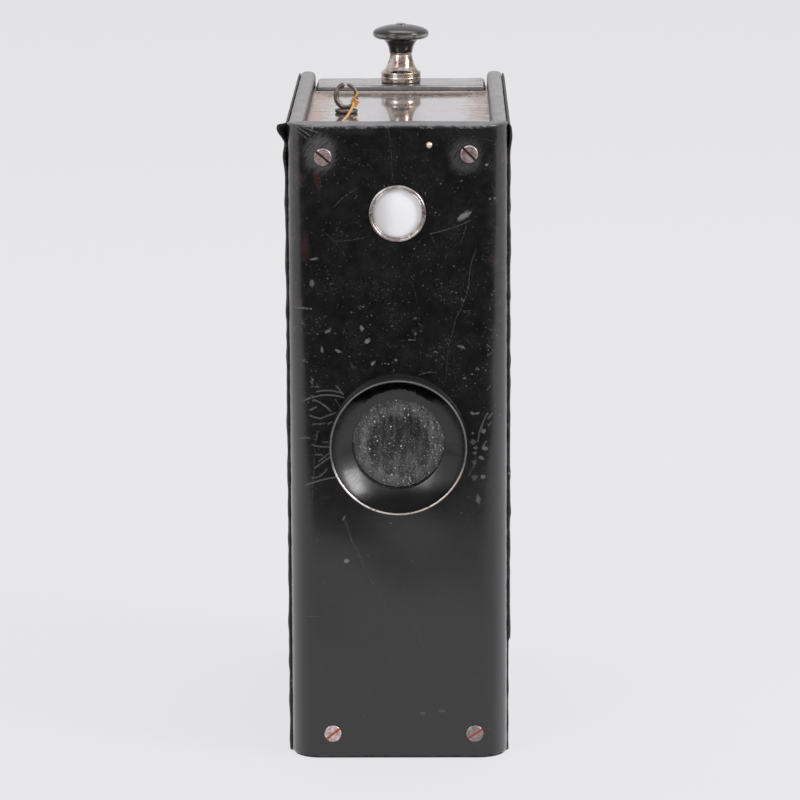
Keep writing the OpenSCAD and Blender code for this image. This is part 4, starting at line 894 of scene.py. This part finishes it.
def makeDustAndShadeFinish():
    # a nearly opaque film on the lens: its dark ground is painted shade and a painted dark reflection for the
    # glass,
    # with dust on it: a ring near its rim, upright streaks in the middle, pale specks that gather
    # at the right and along the foot; towards the top it is greyer, where the painted dark reflection ends in
    # a wavering edge
    material = newMaterial("lensDustAndShade", Roughness=1.0, Specular_IOR_Level=0.0)
    place = millimetres(material)
    around, away = aroundLens(place)
    across, _, high = separate(around)
    fine = noise(place, 2.4, 5.0, 0.8)
    soft = noise(place, 0.35, 3.0, 0.6)
    streaks = noise(place * (1.1, 1.0, 0.22), 0.8, 4.0, 0.65)
    rim = fade(away + soft * 2.4, 7.4, 9.8)
    # the dark reflection painted on the glass ends below this greyer band, with a wavering edge
    top = fade(high + streaks * 3.0, 6.6, 8.4, 0.0, 0.7)
    foot = fade(across * 0.35 - high, -1.5, 6.5, 0.0, 0.5)
    veil = (rim | top | foot) * fade(fine, 0.36, 0.66, 0.2, 1.0) + fade(streaks, 0.38, 0.62) * 0.3
    gather = fade(across - soft * 3.0, 3.0, 7.5) | fade(high + soft * 3.0, -5.5, -7.5)
    gather = (gather | 0.45) * mixValue(rim, 0.5, 1.0)
    dots = useGroup(specks, place, Density=2.1, Size=0.16, Share=0.5)[0]
    big = useGroup(specks, place, Density=0.85, Size=0.22, Share=0.45)[0]
    fluff = dots * gather | big * 0.9
    # the film is nearly opaque, so its painted colours stand in for the shade and reflection of the glass
    alpha = calc("MAXIMUM", fade(veil, 0.0, 1.0, 0.72, 0.88), fluff, clamp=True)
    colour = paint(veil, glassFinish["dark"], glassFinish["veil"])
    feed(material, Base_Color=paint(fluff, colour, glassFinish["fluff"]), Alpha=alpha)
    return material


def makeThreadFinish():
    material = newMaterial("waxedThread", IOR=1.45, Coat_Weight=0.3, Coat_Roughness=0.3)
    fibres = noise(millimetres(material) * (3.0, 1.0, 3.0), 2.4, 4.0, 0.7)
    feed(material, Base_Color=paint(fade(fibres, 0.35, 0.68), (0.42, 0.17, 0.03), (0.86, 0.48, 0.10)),
         Roughness=mixValue(fibres, 0.35, 0.6))
    bumps(material, (fibres, 0.04, 0.6))
    return material


def makeCoatedFinish():
    # glass plates with their pale coating
    material = newMaterial("coatedPlate", IOR=1.5)
    soft = noise(millimetres(material), 0.2, 3.0, 0.6)
    feed(material, Base_Color=paint(soft, (0.66, 0.66, 0.58), (0.72, 0.71, 0.62)),
         Roughness=mixValue(soft, 0.25, 0.4))
    return material


finish = {
    "smooth": makeSpineFinish(),
    "grained": makeGrainedFinish("grainedLeather", 0.7),
    "door": makeGrainedFinish("doorLeather", 0.35),
    "panel": makePanelFinish(),
    "plate": makeLacquerFinish(),
    "wood": makeWoodFinish(),
    "enamel": makeEnamelFinish(),
    "horn": makeHornFinish(),
    "glass": makeGlassFinish(),
    "milk": makeMilkFinish(),
    "dust": makeDustAndShadeFinish(),
    "coated": makeCoatedFinish(),
    "thread": makeThreadFinish(),
    **{look: makeMetalFinish(*values) for look, values in metals.items()},
}

slotFinish = {
    "black_wood": "wood", "lacquered_wood": "plate", "smooth_leather": "panel", "grained_leather": "grained",
    "black_enamel": "enamel", "black_horn": "horn", "worn_nickel": "nickel", "brass": "brass",
    "dark_steel": "steel", "spring_steel": "spring", "lens_glass": "glass", "ground_glass": "milk",
    "plate_glass": "coated", "waxed_thread": "thread",
}
ownFinish = {"spine_screws": "screw", "brass_pin": "pin", "rear_door": "door"}


def dressNodes():
    slotOf = {part["node"]: part["material_slot"] for part in frame["record"]["subparts"]}
    for name, made in nodes.items():
        chosen = finish[ownFinish.get(name, slotFinish[slotOf[name]])]
        if made.material_slots:
            for place in made.material_slots:
                place.material = chosen
        else:
            made.data.materials.append(chosen)


dressNodes()
print("finishes ready:", len(finish))


# the holes under the hood and the finder are a height and a radius
spine = {"half": 25.0, "corner": 6.8, "rear": 6.9, "hem": 0.4, "top": 147.6, "fold": 0.5, "thick": 0.45,
         "holes": ((hoodHeight, 14.7), (finderHeight, 5.85))}


def spinePlan():
    # two quarter circles and three straight lines, walked from the left rear to the right rear;
    # returns across and deep, and the direction outwards in the same way
    half, corner = spine["half"], spine["corner"]
    turn = np.linspace(0, quarter, 19)
    left = turn[:-1]
    front = np.linspace(corner - half, half - corner, 75)[:-1]
    across = np.concatenate([[-half], corner - half - corner * np.cos(left), front,
                             half - corner + corner * np.sin(turn), [half]])
    deep = np.concatenate([[spine["rear"]], corner - corner * np.sin(left), 0 * front,
                           corner - corner * np.cos(turn), [spine["rear"]]])
    outX = np.concatenate([[-1], -np.cos(left), 0 * front, np.sin(turn), [1]])
    outD = np.concatenate([[0], -np.sin(left), 0 * front - 1, -np.cos(turn), [0]])
    return across, deep, outX, outD


def makeSpineLeather():
    # the plan rises to the fold, where it moves inwards as 1-cos and upwards as sin, and then runs
    # flat over the board's top to its rear edge
    across, deep, outX, outD = spinePlan()
    top, fold, hem, rear = spine["top"], spine["fold"], spine["hem"], spine["rear"]
    level = np.linspace(hem, top - fold, 290)[:, None]
    wall = np.stack(np.broadcast_arrays(across, deep, level), -1)
    wave = 0.05 * ripple(3, 7, 0.05, 0.35, wall[..., 0], wall[..., 2])
    wave *= smoothStep(0, 3, level - hem) * smoothStep(0, 2, top - fold - level)
    wall[..., 1] += wave * np.abs(outD)
    wall[0, :, 2] += 0.2 + 0.14 * ripple(11, 9, 0.2, 1.6, across + deep)
    turn = np.linspace(0, quarter, 8)[1:, None]
    inset = fold * (1 - np.cos(turn))
    curl = np.stack([across - outX * inset, np.minimum(deep - outD * inset, rear),
                     top - fold + fold * np.sin(turn) + 0 * across], -1)
    edgeX, edgeD = curl[-1, :, 0], curl[-1, :, 1]
    share = np.linspace(0, 1, 8)[1:, None]
    shelf = np.stack([edgeX + 0 * share, edgeD + (rear - edgeD) * share,
                      top + 0.05 * share * ripple(5, 5, 0.1, 0.6, edgeX)], -1)
    grid = np.concatenate([wall, curl, shelf])
    middle = 0.25 * (grid[:-1, :-1] + grid[1:, :-1] + grid[1:, 1:] + grid[:-1, 1:])
    cut = np.zeros(middle.shape[:2], dtype=bool)
    for height, radius in spine["holes"]:
        cut |= np.hypot(middle[..., 0], middle[..., 2] - height) < radius
    onFace = middle[..., 1] < 1.0
    made = piece("spineLeather", [surface(grid, keep=~(cut & onFace))], "smooth", "case",
                 ["spine_skin"], sharp=60, solid=False)
    faceForwards(made, 200)
    thick = made.modifiers.new("thickness", "SOLIDIFY")
    thick.thickness, thick.offset = spine["thick"] * 0.001, -1


makeSpineLeather()
print("spine leather ready")


hood = {"wall": 15.66, "barrel": 15.35, "mouth": 15.2, "throat": 10.5, "proud": 4.0, "edge": 0.25,
        "bow": 0.36, "steeper": 0.3, "seat": 12.3, "rear": 6.9}
lens = {"radius": 10.85, "dusty": 10.45, "front": 2.4, "thick": 1.9, "curve": 90}


def makeLensHood():
    # a short wall with a fillet at its foot, a half-round lip, a dish that is a cone bowed by
    # 4t(1-t) of its bow, and a short straight throat down to the glass
    mouth, throat, proud, edge = hood["mouth"], hood["throat"], hood["proud"], hood["edge"]
    share = np.linspace(0, 1, 16)
    outside = np.stack([hood["wall"] + 0.25 * np.exp(-share * 9), -0.03 - (proud - 0.3) * share], 1)
    half = (hood["wall"] - mouth) / 2
    turn = np.linspace(0, np.pi, 12)[1:]
    lip = np.stack([mouth + half + half * np.cos(turn), -proud + half - half * np.sin(turn)], 1)
    dishTop, dishDeep = 0.55 - proud, proud - 0.55 + edge
    share = np.linspace(0, 1, 40)
    dish = np.stack([mouth + (throat + 0.15 - mouth) * share + hood["bow"] * 4 * share * (1 - share),
                     dishTop + dishDeep * share], 1)
    behind = [[throat + 0.03, edge + 0.06], [throat, edge + 0.2], [throat, lens["front"]],
              [hood["seat"], lens["front"]], [hood["seat"], hood["rear"]], [hood["barrel"], hood["rear"]],
              [hood["barrel"], 0.1]]
    points, cells = lathe(np.concatenate([outside, lip, dish, behind]), 160, (0, 0, hoodHeight))
    # under the top of the rim the dish is steeper, by more of the same bow
    high, deep = points[:, 2] - 0.001 * hoodHeight, 1000 * (points[:, 1] - spineFaceY)
    away = np.hypot(points[:, 0], high)
    share = np.clip((deep - dishTop) / dishDeep, 0, 1)
    share[(away > 0.001 * (mouth + 0.01)) | (away < 0.001 * (throat + 0.1))] = 0
    away = np.maximum(away, 1e-6)
    extra = hood["steeper"] * smoothStep(0.72, 0.95, high / away) * 4 * share * (1 - share)
    points[:, ::2] += (0.001 * extra / away)[:, None] * np.stack([points[:, 0], high], 1)
    piece("lensHood", [(points, cells)], "enamel", "case", ["lens_hood"], sharp=40)


def makeFrontGlass():
    # the front glass bulges by its radius of curvature, its back is flat; a film of dust and painted shade
    # lies on it
    radius = np.linspace(lens["radius"], 0, 24)
    back = lens["front"] + lens["thick"]
    bulge = np.stack([radius, lens["front"] + dome(radius, lens["curve"])], 1)
    profile = np.concatenate([[[0, back], [lens["radius"], back]], bulge])
    piece("frontGlass", [lathe(profile, 96, (0, 0, hoodHeight), closed=False)], "glass", "case",
          ["front_lens"], sharp=35)
    radius = np.linspace(0, lens["dusty"], 30)
    film = np.stack([radius, lens["front"] + dome(radius, lens["curve"]) - 0.03], 1)
    made = piece("lensDustAndShade", [lathe(film, 96, (0, 0, hoodHeight), closed=False)], "dust", "case",
                 sharp=35, solid=False)
    faceForwards(made, 0)


makeLensHood()
makeFrontGlass()
print("lens ready")


finder = {"sleeve": 6.0, "clear": 5.4, "deep": 2.0, "curve": 24, "bulge": 0.35}


def makeFinder():
    # ring profile: a rounded outer bead, a groove and a fine inner bead against the glass
    sleeve, clear, deep, curve = finder["sleeve"], finder["clear"], finder["deep"], finder["curve"]
    profile = [[sleeve, deep], [sleeve, 0.1], [6.38, 0.05], [6.47, -0.12], [6.45, -0.38], [6.3, -0.58],
               [6.08, -0.6], [5.92, -0.5], [5.84, -0.4], [5.76, -0.42], [5.68, -0.56], [5.56, -0.6],
               [5.46, -0.5], [5.42, -0.3], [5.42, deep]]
    piece("finderRing", [lathe(softened(profile), 112, (0, 0, finderHeight))], "ringNickel", "case",
          ["finder_ring"])
    radius = np.linspace(clear, 0, 20)
    bulge = np.stack([radius, dome(radius, curve) - finder["bulge"]], 1)
    glass = np.concatenate([[[0, deep], [clear, deep]], bulge])
    piece("finderGlass", [lathe(glass, 96, (0, 0, finderHeight), closed=False)], "milk", "case",
          ["finder_lens"], sharp=35)


makeFinder()
print("finder ready")


cover = {"inner": 25.0, "thick": 0.65, "front": 6.2, "rear": 104.9, "low": 0.4, "high": 146.9,
         "flap": 2.0, "worn": 26.2}


def makeCover(name, side, seed):
    # a sheet over the depth and the height; its thickness and its front edge waver, its edges are
    # worn thin, and its front corner lifts away from the wall near the top
    run = np.concatenate([np.linspace(0, 6, 25), np.linspace(6.4, 98.2, 190)[:-1], np.linspace(98.2, 98.7, 3)])
    run, high = np.meshgrid(run, np.linspace(cover["low"], cover["high"], 210), indexing="ij")
    waver = 0.12 * ripple(seed, 9, 0.15, 1.7, high[0:1]) + 0.09 * ripple(seed + 1, 8, 2.0, 5.0, high[0:1])
    front = cover["front"] + 0.9 * waver
    depth = front + run * (cover["rear"] - front) / 98.7
    toFront = depth - front
    thick = cover["thick"] * (0.55 + 0.45 * smoothStep(0, 0.7, toFront))
    thick += (0.012 + 0.05 * np.exp(-toFront / 2.5)) * ripple(seed + 2, 12, 0.3, 1.5, depth, high)
    thick += 0.10 * bell(toFront, 1.2, 1.4) * ripple(seed + 3, 7, 0.1, 0.9, high)
    thick = np.clip(thick, 0.22, 1.1) * (smoothStep(-0.2, 0.5, cover["high"] - high) * 0.6 + 0.4)
    if side < 0:
        lift = cover["flap"] * bell(toFront, 0, 2.6) * smoothStep(142.2, 146.0, high)
        lift += 0.5 * bell(toFront, 0, 1.6) * bell(high, 139.5, 2.2)
    else:
        lift = 0.5 * bell(toFront, 0, 2.5) * bell(high, 144.5, 3.0)
        ragged = high + 0.3 * ripple(seed + 6, 5, 0.5, 2.0, depth)
        thick *= 0.45 + 0.55 * smoothStep(cover["worn"], cover["worn"] + 1, ragged)
    outer = np.stack([side * (cover["inner"] + thick + lift), depth, high], -1)
    inner = np.stack([side * (cover["inner"] + 0.02 + lift * 0.94), depth, high], -1)
    rim = [surface(np.stack([outer[:, k], inner[:, k]], 1)) for k in (0, -1)]
    piece(name, [surface(np.concatenate([outer, inner[::-1]]), closeRows=True)] + rim, "grained", "case",
          ["left_leather" if side < 0 else "right_leather"])


makeCover("leftCover", -1, 21)
makeCover("rightCover", 1, 47)
print("side leather ready")


wall = {"thick": 3.7, "half": 25.0, "top": 147.5, "front": 7.0, "rear": 105.0}


def makeWall(name, side, seed):
    # section: a board whose top is a flattened bead, cosine and sine to the power 0.72; the bead
    # drops along a quarter circle near both ends
    bead = wall["thick"] / 2
    turn = np.linspace(0, np.pi, 22)
    beadX = np.sign(np.cos(turn)) * np.abs(np.cos(turn)) ** 0.72 * bead
    beadZ = np.abs(np.sin(turn)) ** 0.72 * bead
    section = np.concatenate([[[bead, 0.0], [bead, 70.0], [bead, 140.0]],
                              np.stack([beadX, wall["top"] - bead + beadZ], 1),
                              [[-bead, 140.0], [-bead, 70.0], [-bead, 0.0]]])
    depth = np.concatenate([wall["front"] + 1.5 * (1 - np.cos(np.linspace(0, quarter, 9))),
                            np.linspace(wall["front"] + 2.2, wall["rear"] - 1.4, 80),
                            wall["rear"] - np.cos(np.linspace(0.2, quarter, 7))])[:, None]
    drop = 0.9 * roundOff(depth - wall["front"], 1.5) + 0.5 * roundOff(wall["rear"] - depth, 1.0)
    swell = 0.05 * ripple(seed, 8, 0.05, 0.5, depth)
    high = section[:, 1] + (swell - drop) * (section[:, 1] > 141)
    across = side * (wall["half"] - bead + section[:, 0])
    grid = np.stack(np.broadcast_arrays(across, depth, high), -1)
    piece(name, [surface(grid, closeColumns=True)], "wood", "case",
          ["left_wall" if side < 0 else "right_wall"])


makeWall("leftWall", -1, 5)
makeWall("rightWall", 1, 9)
print("walls ready")


# the fillet's rows are a height over the foot and a shift in depth
raised = {"half": 20.85, "front": 88.4, "rear": 105.0, "low": 144.1, "high": 145.7, "round": 1.1,
          "rearRound": 0.6,
          "fillet": ((0.5, 0.18), (0.34, 0.2), (0.3, -0.1), (0.22, -0.2), (0.06, -0.2), (-0.05, -0.15))}


def makeRodPlate():
    # the height falls off towards the four edges along a quarter circle, most of all at the ends
    half, r, front, rear, low = (raised[key] for key in ("half", "round", "front", "rear", "low"))
    edge = r * (1 - np.cos(np.linspace(0, quarter, 9)))
    across = np.concatenate([edge - half, np.linspace(r - half, half - r, 90)[1:-1], (half - edge)[::-1]])
    deep = np.concatenate([front + edge, np.linspace(front + r, rear - raised["rearRound"], 26)[1:],
                           [rear - 0.2, rear]])
    x, d = np.meshgrid(across, deep)
    z = raised["high"] - r * roundOff(half - np.abs(x), r) - r * roundOff(d - front, r)
    z -= 0.5 * raised["rearRound"] * roundOff(rear - d, raised["rearRound"])
    z = np.maximum(z, low + 0.35) + 0.03 * ripple(8, 7, 0.1, 0.6, x, d)
    top = np.stack([x, d, z], -1)
    # under its rounded edge the plate has a groove and a thin pale fillet along the front
    skirt = np.concatenate([top[0], top[1:, -1], top[-1, :-1][::-1], top[1:-1, 0][::-1]])
    levels = [skirt]
    for height, shift in raised["fillet"]:
        row = skirt.copy()
        row[:, 1] += shift * bell(skirt[:, 1], front, 0.3)
        row[:, 2] = np.minimum(low + height, skirt[:, 2] - 0.01)
        levels.append(row)
    piece("rodPlate", [surface(top), surface(np.stack(levels), closeColumns=True)], "plate", "case",
          ["rod_plate"], sharp=40)


makeRodPlate()
print("raised plate ready")


knob = {"at": (0.0, 96.69, 0.0), "bore": 1.2, "capLow": 153.35, "ferruleHigh": 153.3}


def makeKnob():
    # cap: a low dome, a round rim and a hollow neck; ferrule: a base band, a hollow sweep and a small bead
    bore, capLow = knob["bore"], knob["capLow"]
    cap = [[bore, 159.9], [2.4, 159.86], [3.8, 159.6], [5.2, 159.22], [6.2, 158.78], [6.7, 158.35],
           [6.85, 157.9], [6.78, 157.3], [6.45, 156.85], [5.9, 156.6], [5.1, 156.5], [4.3, 156.25],
           [3.7, 155.6], [3.25, 154.8], [2.98, 154.0], [2.87, capLow]]
    cap = np.concatenate([cap[:1], curveThrough(cap, 4), [[bore, capLow]]])
    piece("knobCap", [lathe(cap, 96, knob["at"], upright=True)], "horn", "changer", ["knob_cap"])
    ferrule = [[2.8, 153.15], [2.78, 152.9], [2.66, 152.7], [2.75, 152.2], [2.9, 151.5], [3.2, 150.5],
               [3.62, 149.53], [4.1, 148.85], [4.54, 148.5], [4.7, 148.42], [4.86, 148.25], [4.9, 148.0],
               [4.86, 147.6], [4.84, 147.2], [4.9, 146.9], [4.9, 146.3], [4.86, 145.95], [4.74, 145.8],
               [4.62, 146.0]]
    ferrule = np.concatenate([[[bore, knob["ferruleHigh"]], [2.5, knob["ferruleHigh"] + 0.02]],
                              curveThrough(ferrule, 4), [[4.62, 146.6], [bore, 146.62]]])
    piece("knobFerrule", [lathe(ferrule, 96, knob["at"], upright=True)], "nickel", "changer",
          ["knob_ferrule"])


makeKnob()
print("knob ready")


ring = {"at": (-12.5, 49.7), "mean": 2.5, "middle": 148.05, "heavy": 0.62, "thin": 0.44,
        "squash": 0.95, "stretch": 1.07, "arc": (99, 446)}


def ringPoint(turn, shift=0.0):
    # the ring's mean line is an ellipse, a little narrower than high; the shift is in depth
    x, d = ring["at"]
    return np.stack(np.broadcast_arrays(x + ring["mean"] * ring["squash"] * np.cos(turn), d + shift,
                                        ring["middle"] + ring["mean"] * ring["stretch"] * np.sin(turn)), -1)


def makePullRing():
    # the ring's wire tapers along its arc from the heavy blunt arm to the thin one
    foot = [[0, 145.1], [1.4, 145.1], [2.2, 145.06], [2.6, 144.9], [2.7, 144.65], [2.66, 144.35],
            [2.5, 144.16], [1.2, 144.14], [1.2, 139.1], [0, 139.1]]
    turn = np.radians(np.linspace(*ring["arc"], 90))
    share = np.linspace(0, 1, 90)
    wire = ring["heavy"] + (ring["thin"] - ring["heavy"]) * smoothStep(0.35, 0.75, share)
    wire = wire * (1 + 0.04 * ripple(4, 6, 8, 40, share)) + 0.08 * bell(share, 0, 0.03)
    piece("pullRing", [lathe(foot, 64, (*ring["at"], 0), upright=True, closed=False),
                       sweep(ringPoint(turn, 0.25 * np.sin(turn * 1.1)), wire, (0, 1, 0), 20)],
          "steel", "puller", ["pull_ring"])


# the thread from the ring over the panel, down its hole and to the foot of the pulley
threadRoute = [
    (-10.7, 48.35, 146.5), (-11.0, 46, 145.8), (-11.9, 37, 145.1), (-12.8, 28, 144.9), (-13.1, 25.4, 144.8),
    (-13.2, 24.4, 144.3), (-13.2, 24.05, 143.4), (-13.2, 24, 141), (-13.1, 23.6, 137), (-12.2, 21.3, 126.5),
    (-11.2, 18.9, 116), (-10.2, 15.9, 102.4), (-9.45, 13.2, 91.9), (-9.25, 12.65, 88.15), (-8.65, 12.6, 84.9),
    (-6.9, 12.6, 82.0), (-4.6, 12.6, 80.1), (-1.6, 12.6, 79.1), (1.6, 12.6, 79.05), (4.4, 12.6, 80.05),
]
thread = {"radius": 0.27, "lobe": 0.13, "twist": 4.2, "turns": (-0.3, 2.45), "rise": 0.56, "lean": -33}


def makeThread():
    # three strands: the section has three lobes that turn along the cord
    made = piece("shutterThread", [sweep(curveThrough(threadRoute, 24), thread["radius"], (1, 0, 0), 18,
                                         thread["lobe"], thread["twist"])],
                 "thread", None, ["shutter_thread"], sharp=80)
    high = toRow([(-13.2, 24.6, 145.0), (-13.2, 48.0, 145.0)])
    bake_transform(made)
    # nearly three turns round the thin arm, then a short loose end
    lean = math.radians(thread["lean"])
    outwards = np.array([math.cos(lean), 0, math.sin(lean)])
    along = np.array([-math.sin(lean), 0, math.cos(lean)])
    turns = np.linspace(*thread["turns"], 90)[:, None]
    turn = turns * 2 * np.pi
    reach = ring["thin"] + thread["radius"] + 0.04
    coil = ringPoint(lean) + along * (turns - 1.1) * thread["rise"]
    coil = coil + reach * (outwards * np.cos(turn) + np.array([0, -1, 0]) * np.sin(turn))
    steps = ((0, 0, 0), (0.35, -0.35, 0.25), (0.7, -0.3, 0.9), (0.75, -0.1, 1.5))
    tail = curveThrough([coil[-1] + step for step in steps], 8)[1:]
    piece("threadKnot", [sweep(np.concatenate([coil, tail]), thread["radius"] * 0.92, along, 16,
                               thread["lobe"], thread["twist"])],
          "thread", "puller", ["thread_knot"], sharp=80)


makePullRing()
makeThread()
print("pull ring and thread ready")
